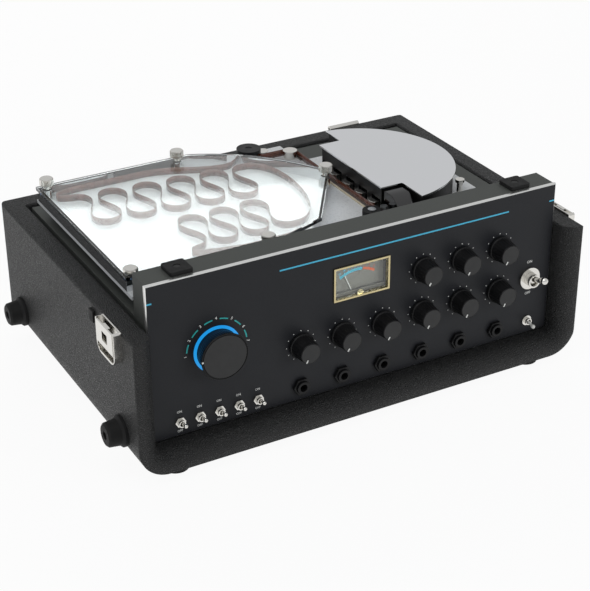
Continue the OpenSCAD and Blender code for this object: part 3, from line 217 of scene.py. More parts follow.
def add(tree, kind, values=None, links=None, **settings):
    """Adds a node with its settings, its sockets' values and the outputs linked to its sockets"""
    node = tree.nodes.new(kind)
    for name, value in settings.items():
        setattr(node, name, value)
    for socket, value in (values or {}).items():
        node.inputs[socket].default_value = value
    for socket, source in (links or {}).items():
        tree.links.new(source, node.inputs[socket])
    return node


def start_finish(name, colour, roughness, metallic=0.0, **values):
    """A material with its shader, as (material, tree, shader)"""
    material = bpy.data.materials.new(name)
    material.use_nodes = True
    tree = material.node_tree
    shader = tree.nodes["Principled BSDF"]
    shader.inputs["Base Color"].default_value = light(colour)
    shader.inputs["Roughness"].default_value = roughness
    shader.inputs["Metallic"].default_value = metallic
    for socket, value in values.items():
        shader.inputs[socket.replace("_", " ")].default_value = value
    return material, tree, shader


def roughen(tree, shader, size, low, high, detail=3.0):
    """Lets roughness drift between two values in patches of a size in millimetres, as handling does"""
    spot = add(tree, "ShaderNodeTexCoord")
    noise = add(tree, "ShaderNodeTexNoise", {"Scale": 1 / (size * MM), "Detail": detail},
                {"Vector": spot.outputs["Object"]})
    drift = add(tree, "ShaderNodeMapRange",
                {"From Min": 0.35, "From Max": 0.65, "To Min": low, "To Max": high},
                {"Value": noise.outputs["Fac"]})
    tree.links.new(drift.outputs["Result"], shader.inputs["Roughness"])
    return spot, noise


def emboss(tree, shader, height, depth, strength=1.0):
    """Bumps the surface by a pattern whose full height is a depth in millimetres"""
    bump = add(tree, "ShaderNodeBump", {"Strength": strength, "Distance": depth * MM}, {"Height": height})
    tree.links.new(bump.outputs["Normal"], shader.inputs["Normal"])
    return bump


def two_tones(tree, shader, value, dark, pale, low=0.3, high=0.7):
    """Colours the surface between two tones by a value"""
    ramp = add(tree, "ShaderNodeValToRGB", links={"Fac": value})
    ramp.color_ramp.elements[0].position = low
    ramp.color_ramp.elements[0].color = light(dark)
    ramp.color_ramp.elements[1].position = high
    ramp.color_ramp.elements[1].color = light(pale)
    tree.links.new(ramp.outputs["Color"], shader.inputs["Base Color"])
    return ramp


# %% [markdown]
# ## The covering of the case
#
# The wooden case is wrapped in vinyl cloth: black PVC on a woven back, pressed with a pebble grain.
# The pebbles are about 1.7 mm wide with thin valleys between them. A Voronoi pattern gives such
# cells, and its distance to the cell's edge makes the valleys. A little noise bends the cells so
# that no two look alike. The valleys are coloured darker than the tops, which is painted shade, and the tops
# are smoother.

# %% Vinyl cloth
def make_vinyl_cloth():
    finish, tree, shader = start_finish("black_vinyl_cloth", "#232424", 0.5, Specular_IOR_Level=0.55)
    grain = 1.7
    spot = add(tree, "ShaderNodeTexCoord")
    bend = add(tree, "ShaderNodeTexNoise", {"Scale": 1 / (2.2 * MM), "Detail": 2.0},
               {"Vector": spot.outputs["Object"]})
    shift = add(tree, "ShaderNodeVectorMath", {1: (0.9 * MM,) * 3}, {0: bend.outputs["Color"]},
                operation="MULTIPLY")
    bent = add(tree, "ShaderNodeVectorMath", {}, {0: spot.outputs["Object"], 1: shift.outputs[0]},
               operation="ADD")
    cells = add(tree, "ShaderNodeTexVoronoi", {"Scale": 1 / (grain * MM)}, {"Vector": bent.outputs[0]},
                feature="DISTANCE_TO_EDGE")
    pebble = add(tree, "ShaderNodeMapRange", {"From Min": 0.0, "From Max": 0.38},
                 {"Value": cells.outputs["Distance"]}, interpolation_type="SMOOTHERSTEP")
    emboss(tree, shader, pebble.outputs["Result"], 1.8)
    # Painted shade: the colour goes darker from the pebble tops down into the valleys.
    two_tones(tree, shader, pebble.outputs["Result"], "#0d0e0e", "#232424", 0.05, 0.9)
    gloss = add(tree, "ShaderNodeMapRange", {"To Min": 0.6, "To Max": 0.33},
                {"Value": pebble.outputs["Result"]})
    tree.links.new(gloss.outputs["Result"], shader.inputs["Roughness"])
    return finish


vinyl_cloth = make_vinyl_cloth()
print("finish:", vinyl_cloth.name)

# %% [markdown]
# ## Rubber, plastics and paint
#
# Moulded rubber is a soft black that dust and bloom turn a little grey, with a fine matt grain.
# The knobs are ABS, moulded in a tool that was spark eroded, so their skin has a grain of about
# 0.25 mm. The cover beside the capstan came out of a polished tool and is as glossy as a piano.
# The panel is aluminium, blasted and anodised black: satin, with a grain too fine to see, so it is
# drawn at 0.4 mm. Powder coat flows out in small hills, the orange peel, about 1.5 mm apart.

# %% Rubber and plastics
def make_rubber():
    finish, tree, shader = start_finish("moulded_rubber", "#1a1a1a", 0.66, Specular_IOR_Level=0.25)
    spot, noise = roughen(tree, shader, 6.0, 0.58, 0.74)
    grain = add(tree, "ShaderNodeTexNoise", {"Scale": 1 / (0.35 * MM), "Detail": 2.0},
                {"Vector": spot.outputs["Object"]})
    two_tones(tree, shader, noise.outputs["Fac"], "#151515", "#202020")
    emboss(tree, shader, grain.outputs["Fac"], 0.03)
    return finish


def make_moulded_abs(name, dark, pale, roughness):
    """ABS from a spark eroded tool, between two tones"""
    finish, tree, shader = start_finish(name, dark, roughness, Specular_IOR_Level=0.25)
    spot, noise = roughen(tree, shader, 9.0, roughness - 0.05, roughness + 0.05)
    grain = add(tree, "ShaderNodeTexNoise", {"Scale": 1 / (0.25 * MM), "Detail": 2.0},
                {"Vector": spot.outputs["Object"]})
    two_tones(tree, shader, noise.outputs["Fac"], dark, pale)
    emboss(tree, shader, grain.outputs["Fac"], 0.02)
    return finish


def make_gloss_abs():
    finish, tree, shader = start_finish("gloss_moulded_abs", "#0b0b0c", 0.09,
                                        Coat_Weight=0.4, Coat_Roughness=0.03)
    spot, noise = roughen(tree, shader, 14.0, 0.07, 0.13)
    emboss(tree, shader, noise.outputs["Fac"], 0.05, 0.4)
    return finish


def make_pvc_sleeve():
    finish, tree, shader = start_finish("white_pvc_sleeve", "#e2e1dc", 0.3)
    spot, noise = roughen(tree, shader, 3.0, 0.25, 0.38)
    two_tones(tree, shader, noise.outputs["Fac"], "#dcdbd5", "#e8e7e3")
    return finish


rubber = make_rubber()
black_abs = make_moulded_abs("spark_eroded_abs", "#101011", "#161617", 0.42)
# The paler finish on the knob tops is painted light: the flat tops are drawn lighter because they face the
# lamps.
painted_lit_top_abs = make_moulded_abs("abs_top_painted_lit", "#2f2f2f", "#353535", 0.4)
gloss_abs = make_gloss_abs()
white_sleeve = make_pvc_sleeve()


# %% Anodised and painted metal
def make_anodised():
    finish, tree, shader = start_finish("black_anodised_aluminium", "#232427", 0.42, Specular_IOR_Level=0.2)
    spot, noise = roughen(tree, shader, 30.0, 0.38, 0.46)
    grain = add(tree, "ShaderNodeTexNoise", {"Scale": 1 / (0.4 * MM), "Detail": 3.0},
                {"Vector": spot.outputs["Object"]})
    two_tones(tree, shader, grain.outputs["Fac"], "#212225", "#27282b")
    emboss(tree, shader, grain.outputs["Fac"], 0.012)
    return finish


def make_powder_coat(name, dark, pale, roughness):
    """Powder coat between two tones, with its orange peel"""
    finish, tree, shader = start_finish(name, dark, roughness, Specular_IOR_Level=0.3)
    spot, noise = roughen(tree, shader, 1.5, roughness - 0.04, roughness + 0.04)
    two_tones(tree, shader, noise.outputs["Fac"], dark, pale)
    emboss(tree, shader, noise.outputs["Fac"], 0.05)
    return finish


anodised = make_anodised()
grey_coat = make_powder_coat("grey_powder_coat", "#464845", "#4e504d", 0.6)
black_coat = make_powder_coat("black_powder_coat", "#0e0e0e", "#141414", 0.45)
white_enamel = make_powder_coat("white_stove_enamel", "#d6d8d8", "#dedfdf", 0.3)
print("finishes:", len(bpy.data.materials))

# %% [markdown]
# ## Metals
#
# Bright nickel plate, zinc plate, polished aluminium, gold anodised trim and sintered bronze are
# all metals, so their colour is what they reflect. What tells them apart is how sharp the
# reflection is: plate over a polished base is nearly a mirror with faint smears of handling, zinc
# is duller, and bronze that was pressed from powder hardly reflects a shape at all.

# %% Metals
def make_metal(name, colour, patch, low, high, grit=None, depth=0.004):
    """A metal whose roughness drifts in patches, with scratches or grit of a size if there are any"""
    finish, tree, shader = start_finish(name, colour, low, 1.0)
    spot, noise = roughen(tree, shader, patch, low, high)
    if grit:
        grain = add(tree, "ShaderNodeTexNoise", {"Scale": 1 / (grit * MM), "Detail": 2.0},
                    {"Vector": spot.outputs["Object"]})
        emboss(tree, shader, grain.outputs["Fac"], depth)
    return finish


nickel = make_metal("bright_nickel_plate", "#dddbd6", 8.0, 0.1, 0.22)
zinc = make_metal("zinc_plate", "#c0c3c6", 5.0, 0.26, 0.42, 0.5)
polished = make_metal("polished_aluminium", "#e4e5e7", 40.0, 0.03, 0.07)
satin_edge = make_metal("milled_bright_edge", "#e6e6e4", 10.0, 0.28, 0.36)
gold_trim = make_metal("gold_anodised_trim", "#cdbf95", 10.0, 0.22, 0.32)
bronze = make_metal("sintered_bronze", "#a87b45", 2.0, 0.42, 0.56, 0.3, 0.02)

# %% [markdown]
# ## Acrylic, tape, felt and lamp light
#
# The cover over the tape is acrylic sheet. Rays that see through it bend and lose a little to
# reflection. Rays from the lamps to what lies under it are let straight through, as thin clear
# sheet does, or the chamber would be noisy and dark. Its sawn and polished edges gather light along
# the sheet and look blue. The tape is polyester film with iron oxide on one side: brown, smooth and
# glossy. The light ring is a translucent band with lamps behind it, so it gives light itself.

# %% Clear sheet
def make_acrylic(name, tint, edge):
    """Clear acrylic that lets the lamps' rays through"""
    finish, tree, shader = start_finish(name, tint, 0.12 if edge else 0.02,
                                        IOR=1.49, Transmission_Weight=1.0)
    rays = add(tree, "ShaderNodeLightPath")
    clear = add(tree, "ShaderNodeBsdfTransparent", {"Color": light(tint)})
    mix = add(tree, "ShaderNodeMixShader", {},
              {0: rays.outputs["Is Shadow Ray"], 1: shader.outputs[0], 2: clear.outputs[0]})
    tree.links.new(mix.outputs[0], tree.nodes["Material Output"].inputs["Surface"])
    return finish


clear_sheet = make_acrylic("clear_acrylic_sheet", "#f7fbfb", False)
clear_edge = make_acrylic("polished_acrylic_edge", "#a9c9ee", True)


# %% Tape, felt, inks and the lit band
def make_tape():
    finish, tree, shader = start_finish("oxide_coated_tape", "#5e3428", 0.22,
                                        Coat_Weight=0.5, Coat_Roughness=0.08)
    spot, noise = roughen(tree, shader, 7.0, 0.18, 0.3)
    two_tones(tree, shader, noise.outputs["Fac"], "#55301f", "#693a2d")
    return finish


def make_felt():
    finish, tree, shader = start_finish("wool_felt", "#d8cbb0", 0.95, Sheen_Weight=0.4)
    spot = add(tree, "ShaderNodeTexCoord")
    fibres = add(tree, "ShaderNodeTexNoise", {"Scale": 1 / (0.5 * MM), "Detail": 5.0},
                 {"Vector": spot.outputs["Object"]})
    two_tones(tree, shader, fibres.outputs["Fac"], "#c8b998", "#e4d9c2")
    emboss(tree, shader, fibres.outputs["Fac"], 0.15)
    return finish


def make_ink(name, colour, roughness=0.45):
    """Screen printing ink, thick enough to have a slight edge and to vary in cover"""
    finish, tree, shader = start_finish(name, colour, roughness)
    roughen(tree, shader, 1.0, roughness - 0.05, roughness + 0.08)
    return finish


def make_lit_band():
    finish, tree, shader = start_finish("lit_translucent_band", "#0c4f86", 0.35, Emission_Strength=0.85)
    spot = add(tree, "ShaderNodeTexCoord")
    glow = add(tree, "ShaderNodeTexNoise", {"Scale": 1 / (12 * MM)}, {"Vector": spot.outputs["Object"]})
    ramp = add(tree, "ShaderNodeValToRGB", links={"Fac": glow.outputs["Fac"]})
    ramp.color_ramp.elements[0].color = light("#128fdc")
    ramp.color_ramp.elements[1].color = light("#2aa6ee")
    tree.links.new(ramp.outputs["Color"], shader.inputs["Emission Color"])
    return finish


oxide_tape = make_tape()
felt = make_felt()
lit_band = make_lit_band()
white_ink = make_ink("white_ink", "#e4e4e0")
blue_ink = make_ink("blue_ink", "#4dbfe2")
teal_ink = make_ink("teal_ink", "#2fb3b0")
orange_ink = make_ink("orange_ink", "#e0602c")
red_ink = make_ink("red_ink", "#c8321e")
dial_paint = make_powder_coat("grey_dial_paint", "#77746c", "#827f77", 0.6)
ledge_paint = make_powder_coat("grey_ledge_paint", "#5d5a52", "#68655d", 0.5)
needle_paint = make_ink("needle_paint", "#e9e8e2")
print("finishes:", len(bpy.data.materials))

# %% [markdown]
# ## Parts that keep their shape
#
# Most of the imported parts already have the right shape, so they only get their finish. The list
# says which finish each one has on the real unit.

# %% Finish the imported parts
kept = {
    vinyl_cloth: ["cabinet"],
    rubber: ["bottom_feet", "side_feet", "drive_belt", "pinch_roller"],
    anodised: ["front_panel"],
    grey_coat: ["chassis", "chassis_base", "drive_motor", "solenoid", "reverb_tank"],
    black_coat: ["meter_body"],
    white_enamel: ["transport_deck"],
    zinc: ["potentiometers", "deck_standoffs", "pinch_arm", "solenoid_plunger", "capstan"],
    bronze: ["capstan_bearings", "motor_pulley"],
    needle_paint: ["meter_needle"],
    lit_band: ["mode_light_ring"],
}


def dress(node, finish):
    """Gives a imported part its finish"""
    mesh = frame["nodes"][node].data
    mesh.materials.clear()
    mesh.materials.append(finish)


for finish, nodes in kept.items():
    for node in nodes:
        dress(node, finish)
print("kept parts:", sum(len(nodes) for nodes in kept.values()))

# %% [markdown]
# ## Parts with rounded edges
#
# Other parts need the small rounds that cutting, bending and moulding leave, or hold two finishes
# in one node. For these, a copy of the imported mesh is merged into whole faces, split into its
# separate solids, and rounded. Each solid goes to the first of the named parts whose test fits its
# size, so that a pad, say, can be rubber while its screw is black metal.

# %% Copy, split and round a node
def merged_copy(node):
    """A node's mesh with its triangles joined into the faces that they tile"""
    work = bmesh.new()
    work.from_mesh(frame["nodes"][node].data)
    bmesh.ops.remove_doubles(work, verts=work.verts, dist=0.002 * MM)
    bmesh.ops.dissolve_limit(work, angle_limit=math.radians(0.3), verts=work.verts, edges=work.edges)
    return work


def solids_in(work):
    """The separate solids of a shape, each as a set of vertex indices"""
    work.verts.index_update()
    work.verts.ensure_lookup_table()
    seen, found = set(), []
    for start in work.verts:
        if start.index in seen:
            continue
        group, waiting = {start.index}, [start]
        while waiting:
            vert = waiting.pop()
            for edge in vert.link_edges:
                other = edge.other_vert(vert)
                if other.index not in group:
                    group.add(other.index)
                    waiting.append(other)
        seen |= group
        found.append(group)
    return found


def corners_of(work, group):
    """The lowest and highest corner of a solid, in millimetres on the panel's drawing"""
    points = [(work.verts[i].co - at(0, 0, 0)) / MM for i in group]
    return (Vector([min(p[axis] for p in points) for axis in range(3)]),
            Vector([max(p[axis] for p in points) for axis in range(3)]))


def remake(node, parts, width=0.3, segments=2):
    """Replaces a node by rounded copies of its solids. parts holds (name, finish, slot, test), where
    the test reads a solid's lowest and highest corner in millimetres"""
    source = merged_copy(node)
    chosen = [set() for part in parts]
    for group in solids_in(source):
        low, high = corners_of(source, group)
        home = next(i for i, part in enumerate(parts) if part[3](low, high))
        chosen[home] |= group
    for (name, finish, slot, test), group in zip(parts, chosen):
        work = source.copy()
        work.verts.index_update()
        bmesh.ops.delete(work, geom=[v for v in work.verts if v.index not in group], context="VERTS")
        if width:
            rounded(work, width, segments)
        piece(name, work, finish, body_of[node], slot, [node])
    source.free()


def anything(low, high):
    """True for every solid"""
    return True


# %% [markdown]
# The handle's strap is moulded rubber with two plated end caps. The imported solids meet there, so they
# come out as one mesh, and its faces near the two ends get the nickel. The lid's pads are rubber
# blocks, each held down by a screw. The latches and the hinge are pressed from sheet and plated, so
# their edges are rounded by about a third of a millimetre.

# %% Case hardware
CAP_LENGTH = 20


def plate_caps(name, node):
    """Gives the second finish to a handle's faces within a cap's length of its ends"""
    low, high = measured(node)
    for face in bpy.data.objects[name].data.polygons:
        reach = (face.center.y - at(0, 0, 0).y) / MM
        if not low.y + CAP_LENGTH < reach < high.y - CAP_LENGTH:
            face.material_index = 1


remake("carry_handle", [("handle_strap_and_caps", [rubber, nickel], "handle_rubber", anything)], 0.8, 3)
plate_caps("handle_strap_and_caps", "carry_handle")
remake("lid_pads", [
    ("lid_pad_screws", black_coat, "rubber", lambda low, high: high.x - low.x < 8),
    ("lid_pad_blocks", rubber, "rubber", anything),
], 0.5)
remake("lid_hardware", [
    ("wall_stop", rubber, "chrome", lambda low, high: high.x - low.x < 3 and high.y < 200),
    ("latch_plates_and_hinge", nickel, "chrome", anything),
], 0.35)
remake("left_latch_lever", [("left_latch_lever_plate", nickel, "chrome", anything)], 0.3)
remake("right_latch_lever", [("right_latch_lever_plate", nickel, "chrome", anything)], 0.3)
remake("mains_inlet", [
    ("mains_inlet_pins", zinc, "black_plastic", lambda low, high: high.x - low.x < 6),
    ("mains_inlet_body", black_abs, "black_plastic", anything),
], 0.3)

# %% Heads, guides and covers
remake("head_cover", [("head_cover_plate", polished, "polished_aluminium", anything)], 0.25)
remake("head_housing", [("head_housing_walls", black_coat, "black_steel", anything)], 0.2)
remake("drive_cover", [("drive_cover_shell", gloss_abs, "gloss_plastic_black", anything)], 0.7, 3)
remake("tape_heads", [
    ("tape_head_blocks", nickel, "chrome", lambda low, high: high.y - low.y < 30),
    ("tape_head_bracket", zinc, "chrome", anything),
], 0.3)
remake("tape_guides", [
    ("felt_strip", felt, "chrome", lambda low, high: high.y - low.y > 40),
    ("tape_guide_posts", nickel, "chrome", anything),
], 0.2)
remake("exit_idler", [("exit_idler_roller", black_abs, "black_plastic", anything)], 0.4)
remake("chamber_frame", [("chamber_frame_walls", polished, "polished_aluminium", anything)], 0.3)

# %% Switches and sockets
remake("toggle_switches", [("switch_bushes_and_nuts", nickel, "plated_steel", anything)], 0.25)
remake("jack_sockets", [
    ("jack_nuts", black_abs, "black_plastic", lambda low, high: high.y < 1),
    ("jack_bodies", black_abs, "black_plastic", anything),
], 0.35)
for switch in SMALL_SWITCHES + ("power",):
    dress(switch + "_switch_lever", nickel)
dress("level_switch_lever", white_sleeve)
dress("circuit_board", make_powder_coat("green_circuit_board", "#1d4a2c", "#25573a", 0.4))

# %% [markdown]
# ## The clear cover
#
# The cover is sawn from 3 mm acrylic sheet. Its faces are clear and its edges look blue, so the
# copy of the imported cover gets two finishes: one for faces that look up or down, and one for the
# rest. The bevel that polishing leaves is a third of a millimetre wide.

# %% Cover and meter window
def clear_copy(node, name, up, width):
    """A rounded copy of a sheet, with its edges in the blue finish. up is the axis across the sheet"""
    work = merged_copy(node)
    rounded(work, width, 2)
    for face in work.faces:
        face.material_index = 0 if abs(face.normal[up]) > 0.9 else 1
    return piece(name, work, [clear_sheet, clear_edge], body_of[node], "clear_acrylic", [node])


clear_copy("chamber_cover", "chamber_cover_sheet", 2, 0.35)
clear_copy("meter_window", "meter_window_sheet", 1, 0.1)

# %% [markdown]
# ## The tape
#
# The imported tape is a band 0.4 mm thick, so that it is a solid part. Real tape is far thinner. Only
# one wall of the band is kept, as a ribbon one face high, and a Solidify modifier gives it back a
# thickness of 0.12 mm.

# %% Make the tape thin
TAPE_FILM = 0.12


def make_thin_tape():
    """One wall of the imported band, as an open ribbon"""
    work = bmesh.new()
    work.from_mesh(frame["nodes"]["tape_loop"].data)
    bmesh.ops.remove_doubles(work, verts=work.verts, dist=0.002 * MM)
    bmesh.ops.delete(work, geom=[f for f in work.faces if abs(f.normal.z) > 0.5], context="FACES")
    walls = solids_in(work)
    spare = [v for v in work.verts if v.index not in walls[0]]
    bmesh.ops.delete(work, geom=spare, context="VERTS")
    bmesh.ops.dissolve_limit(work, angle_limit=math.radians(0.3), verts=work.verts, edges=work.edges)
    print("tape walls:", len(walls), "faces kept:", len(work.faces))
    return work


tape = piece("tape_ribbon", make_thin_tape(), oxide_tape, "case", "brown_tape", ["tape_loop"])
film = tape.modifiers.new("film", "SOLIDIFY")
film.thickness = TAPE_FILM * MM
film.offset = -1

# %% [markdown]
# ## Knobs
#
# Each small knob is moulded in black ABS with a flared foot and shallow flutes for the fingers. Its
# flat top is given a paler finish than the sides, which is painted light for the light falling on
# the top, and a white line is printed on it. The outline is spun in 96 steps, and a cosine presses
# 24 flutes into its side, so that each flute is four steps wide. The steel spindle runs through the
# panel into the control behind it.

# %% Flutes, pointers and spindles
def fluted(work, count, depth, low, high, inside=0):
    """Presses flutes of a depth into the side of a turned shape between two heights in millimetres"""
    for vert in work.verts:
        radius = vert.co.xy.length
        if low * MM <= vert.co.z <= high * MM and radius > inside * MM:
            turn = math.atan2(vert.co.y, vert.co.x) * count
            vert.co.xy *= 1 - depth * MM * (0.5 - 0.5 * math.cos(turn)) / radius
    return work


def paint_top(work, height, radius):
    """Gives the second finish, made paler as painted light, to the faces of a knob's flat top"""
    for face in work.faces:
        middle = face.calc_center_median()
        if middle.z > height * MM and middle.xy.length < radius * MM:
            face.material_index = 1
    return work


KNOB_OUTLINE = [(3.2, 11.9), (3.2, 0.9), (10.5, 0.9), (10.9, 1.1), (11, 1.5), (11, 2.7), (10.7, 3.2),
                (10.35, 3.5), (9.0, 15.9), (8.95, 16.4), (8.7, 16.85), (8.4, 17), (8.1, 16.95),
                (7.9, 16.8), (0, 16.8)]
SEVEN_OCLOCK = math.radians(240)


def make_small_knob(name):
    """A fluted knob with its pointer and spindle, at its node's place"""
    node, body = name + "_knob", body_of[name + "_knob"]
    place = facing_out(*middle_of(node))
    knob = paint_top(fluted(turned(KNOB_OUTLINE, 96), 24, 0.3, 3.4, 16, 5), 16.7, 8.2)
    piece(node + "_moulding", placed(knob, place), [black_abs, painted_lit_top_abs], body, "knob_plastic", [node])
    outwards = Matrix.Rotation(SEVEN_OCLOCK, 4, "Z") @ Matrix.Translation((7.15 * MM, 0, 0))
    line = placed(slab(2.9, 1.15, 0.2, 16.85), outwards)
    piece(node + "_pointer", placed(line, place), white_ink, body, "knob_plastic")
    spindle = turned([(0, -8.4), (2.7, -8.4), (3, -8.1), (3, 11.9), (0, 11.9)], 32)
    piece(node + "_spindle", placed(spindle, place), zinc, body, "knob_plastic", [node])


for name in SMALL_KNOBS:
    make_small_knob(name)
print("small knobs done")

# %% [markdown]
# The mode knob is wider and flares outwards from its foot, so its side lies in shade. Its top has a
# raised rim, a groove and a flat face, and a white dot on the rim shows the choice.

# %% Mode knob
MODE_OUTLINE = [(3.2, 9.4), (3.2, 0.9), (16.6, 0.9), (17.2, 1.1), (17.4, 1.6), (17.4, 3.2), (17.7, 4.6),
                (19.3, 12.4), (19.8, 13), (20, 13.5), (20, 14.05), (19.8, 14.4), (19.5, 14.5),
                (19.2, 14.45), (19.0, 14.0), (18.6, 13.9), (18.4, 14.2), (18.2, 14.45), (17.9, 14.5),
                (0, 14.5)]
MODE_DOT_OUTLINE = [(0, 14.0), (0.85, 14.0), (0.85, 14.6), (0.7, 14.7), (0, 14.7)]
mode_x, mode_z = middle_of("mode_knob")
mode_place = facing_out(mode_x, mode_z)
# The mode knob's flat top gets the same paler finish, as painted light.
mode_knob = paint_top(fluted(turned(MODE_OUTLINE, 240), 60, 0.35, 4.5, 12.5, 5), 14.3, 18.1)
piece("mode_knob_moulding", placed(mode_knob, mode_place), [black_abs, painted_lit_top_abs],
      "mode_knob", "knob_plastic", ["mode_knob"])
mode_dot = placed(turned(MODE_DOT_OUTLINE, 20), Matrix.Translation((-19.2 * MM, 0, 0)))
piece("mode_knob_dot", placed(mode_dot, mode_place), white_ink, "mode_knob", "knob_plastic")
mode_spindle = turned([(0, -8.4), (2.7, -8.4), (3, -8.1), (3, 9.4), (0, 9.4)], 32)
piece("mode_knob_spindle", placed(mode_spindle, mode_place), zinc, "mode_knob", "knob_plastic", ["mode_knob"])
print("mode knob, mm:", round(mode_x, 1), round(mode_z, 1))

# %% [markdown]
# ## Thumbscrews
#
# Five knurled thumbscrews hold the clear cover down. Their heads are turned from brass, knurled
# with a straight tooth of about a millimetre and nickel plated. Three of them stand on a collar.
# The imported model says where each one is, so its solids are read for their middles and heights.

# %% Knurled thumbscrews
def make_thumbscrew(low, high):
    """A screw in the space of a packed one, whose head fills the top of it"""
    top, middle, radius = high.z, (low + high) / 2, (high.x - low.x) / 2
    cover_top = measured("chamber_cover")[1].z
    tall = top - cover_top > 6
    under = cover_top + (3 if tall else 0)
    neck = [(1.5, low.z), (1.5, cover_top)] + ([(3.4, cover_top), (3.4, under)] if tall else [])
    head = [(radius - 0.7, under), (radius - 0.1, under + 0.5), (radius - 0.1, top - 0.9),
            (radius - 0.9, top - 0.05), (radius - 1.5, top), (0, top)]
    screw = fluted(turned([(0, low.z)] + neck + head, 160), 40, 0.55, under + 0.3, top - 0.7, radius - 1)
    return placed(screw, upright(middle.x, middle.y, 0))


def screw_boxes():
    """The lowest and highest corner of each packed thumbscrew"""
    source = merged_copy("cover_screws")
    for group in solids_in(source):
        yield corners_of(source, group)
    source.free()


thumbscrews = [make_thumbscrew(low, high) for low, high in screw_boxes()]
print("thumbscrews:", len(thumbscrews))
piece("cover_thumbscrews", joined(thumbscrews), nickel, "case", "chrome", ["cover_screws"])

# %% [markdown]
# ## Print on the panel
#
# Ink from a screen stands a few hundredths of a millimetre proud. It is modelled as thin plates
# rather than drawn in a material, so it stays crisp from near by: dots round each knob, the numbers
# one to seven round the mode dial with arcs between them, ON and OFF at the switches and a blue
# line. Names of controls are left off, so those places are bare panel.

# %% Tools for print
INK = 0.06


def dot(radius, x, y):
    """A round dot of ink"""
    work = bmesh.new()
    bmesh.ops.create_cone(work, cap_ends=True, segments=12, radius1=radius * MM, radius2=radius * MM,
                          depth=INK * MM)
    return placed(work, Matrix.Translation((x * MM, y * MM, INK / 2 * MM)))


def arc(inner, outer, start, end, depth=INK):
    """A band of ink between two radii and two angles in degrees"""
    work = bmesh.new()
    ends = [work.verts.new((radius * MM, 0, 0)) for radius in (inner, outer)]
    edge = work.edges.new(ends)
    bmesh.ops.rotate(work, cent=(0, 0, 0), matrix=Matrix.Rotation(math.radians(start), 3, "Z"), verts=ends)
    steps = max(3, int(abs(end - start) / 2))
    bmesh.ops.spin(work, geom=ends + [edge], axis=(0, 0, 1), angle=math.radians(end - start), steps=steps)
    grown = bmesh.ops.extrude_face_region(work, geom=work.faces[:])["geom"]
    top = [v for v in grown if isinstance(v, bmesh.types.BMVert)]
    bmesh.ops.translate(work, vec=(0, 0, depth * MM), verts=top)
    bmesh.ops.recalc_face_normals(work, faces=work.faces)
    return work


def letters(words, height, weight=0.02):
    """Letters or numbers of a height in millimetres, centred"""
    text = bpy.data.curves.new("letters", "FONT")
    text.body, text.size, text.extrude = words, height / 0.7 * MM, INK / 2 * MM
    text.offset, text.resolution_u = weight * height * MM, 2
    text.align_x, text.align_y = "CENTER", "CENTER"
    drawn = bpy.data.objects.new("letters", text)
    scene.collection.objects.link(drawn)
    mesh = bpy.data.meshes.new_from_object(drawn.evaluated_get(bpy.context.evaluated_depsgraph_get()))
    work = bmesh.new()
    work.from_mesh(mesh)
    bpy.data.objects.remove(drawn)
    bpy.data.curves.remove(text)
    bpy.data.meshes.remove(mesh)
    return placed(work, Matrix.Translation((0, 0, INK / 2 * MM)))


def round_dial(angle, radius):
    """Moves a shape out along an angle in degrees, with its top turned outwards"""
    return Matrix.Rotation(math.radians(angle - 90), 4, "Z") @ Matrix.Translation((0, radius * MM, 0))


# %% White print
KNOB_DOTS_R, MODE_DIGITS_R = 13, 26.8
SMALL_WORDS, SMALL_ON_Z, SMALL_OFF_Z = 1.9, -115.7, -133
POWER_WORDS, POWER_ON_Z, POWER_OFF_Z = 2.4, -68.2, -98.2
white_print = []
for name in SMALL_KNOBS:
    place = facing_out(*middle_of(name + "_knob"))
    for step in range(11):
        angle = math.radians(240 - 30 * step)
        mark = dot(0.45, KNOB_DOTS_R * math.cos(angle), KNOB_DOTS_R * math.sin(angle))
        white_print.append(placed(mark, place))
for number in range(1, 8):
    place = mode_place @ round_dial(210 - 30 * number, MODE_DIGITS_R)
    white_print.append(placed(letters(str(number), 2.3, 0.035), place))
for switch in SMALL_SWITCHES:
    switch_x = middle_of(switch + "_switch_lever")[0]
    white_print.append(placed(letters("ON", SMALL_WORDS), facing_out(switch_x, SMALL_ON_Z)))
    white_print.append(placed(letters("OFF", SMALL_WORDS), facing_out(switch_x, SMALL_OFF_Z)))
power_x = middle_of("power_switch_lever")[0]
white_print.append(placed(letters("ON", POWER_WORDS), facing_out(power_x, POWER_ON_Z)))
white_print.append(placed(letters("OFF", POWER_WORDS), facing_out(power_x, POWER_OFF_Z)))
print("white marks:", len(white_print))
piece("panel_white_print", joined(white_print), white_ink, "case", "anodised_panel")

# %% Blue line and teal arcs
LINE_Z, LINE_H = -15.2, 1.3
LINE_RUNS = [(0.9, 5), (113, 328.5), (370, 375.1)]
line_parts = []
for start, end in LINE_RUNS:
    run = slab(end - start, LINE_H, INK)
    line_parts.append(placed(run, facing_out((start + end) / 2, LINE_Z)))
piece("panel_blue_line", joined(line_parts), blue_ink, "case", "anodised_panel")
teal_parts = [placed(arc(25.4, 26.5, 173 - 30 * i, 157 - 30 * i), mode_place) for i in range(6)]
piece("mode_dial_arcs", joined(teal_parts), teal_ink, "case", "anodised_panel")
print("blue runs:", len(line_parts), "teal arcs:", len(teal_parts))

# %% [markdown]
# ## The panel
#
# The panel is black anodised aluminium, and its rim is milled after anodising, so bright metal
# shows. Only the edges of its outline are chamfered. The bevel gives the new faces the second
# finish, and so do the thin sides.

# %% Bright milled rim
RIM_REACH = 5.2


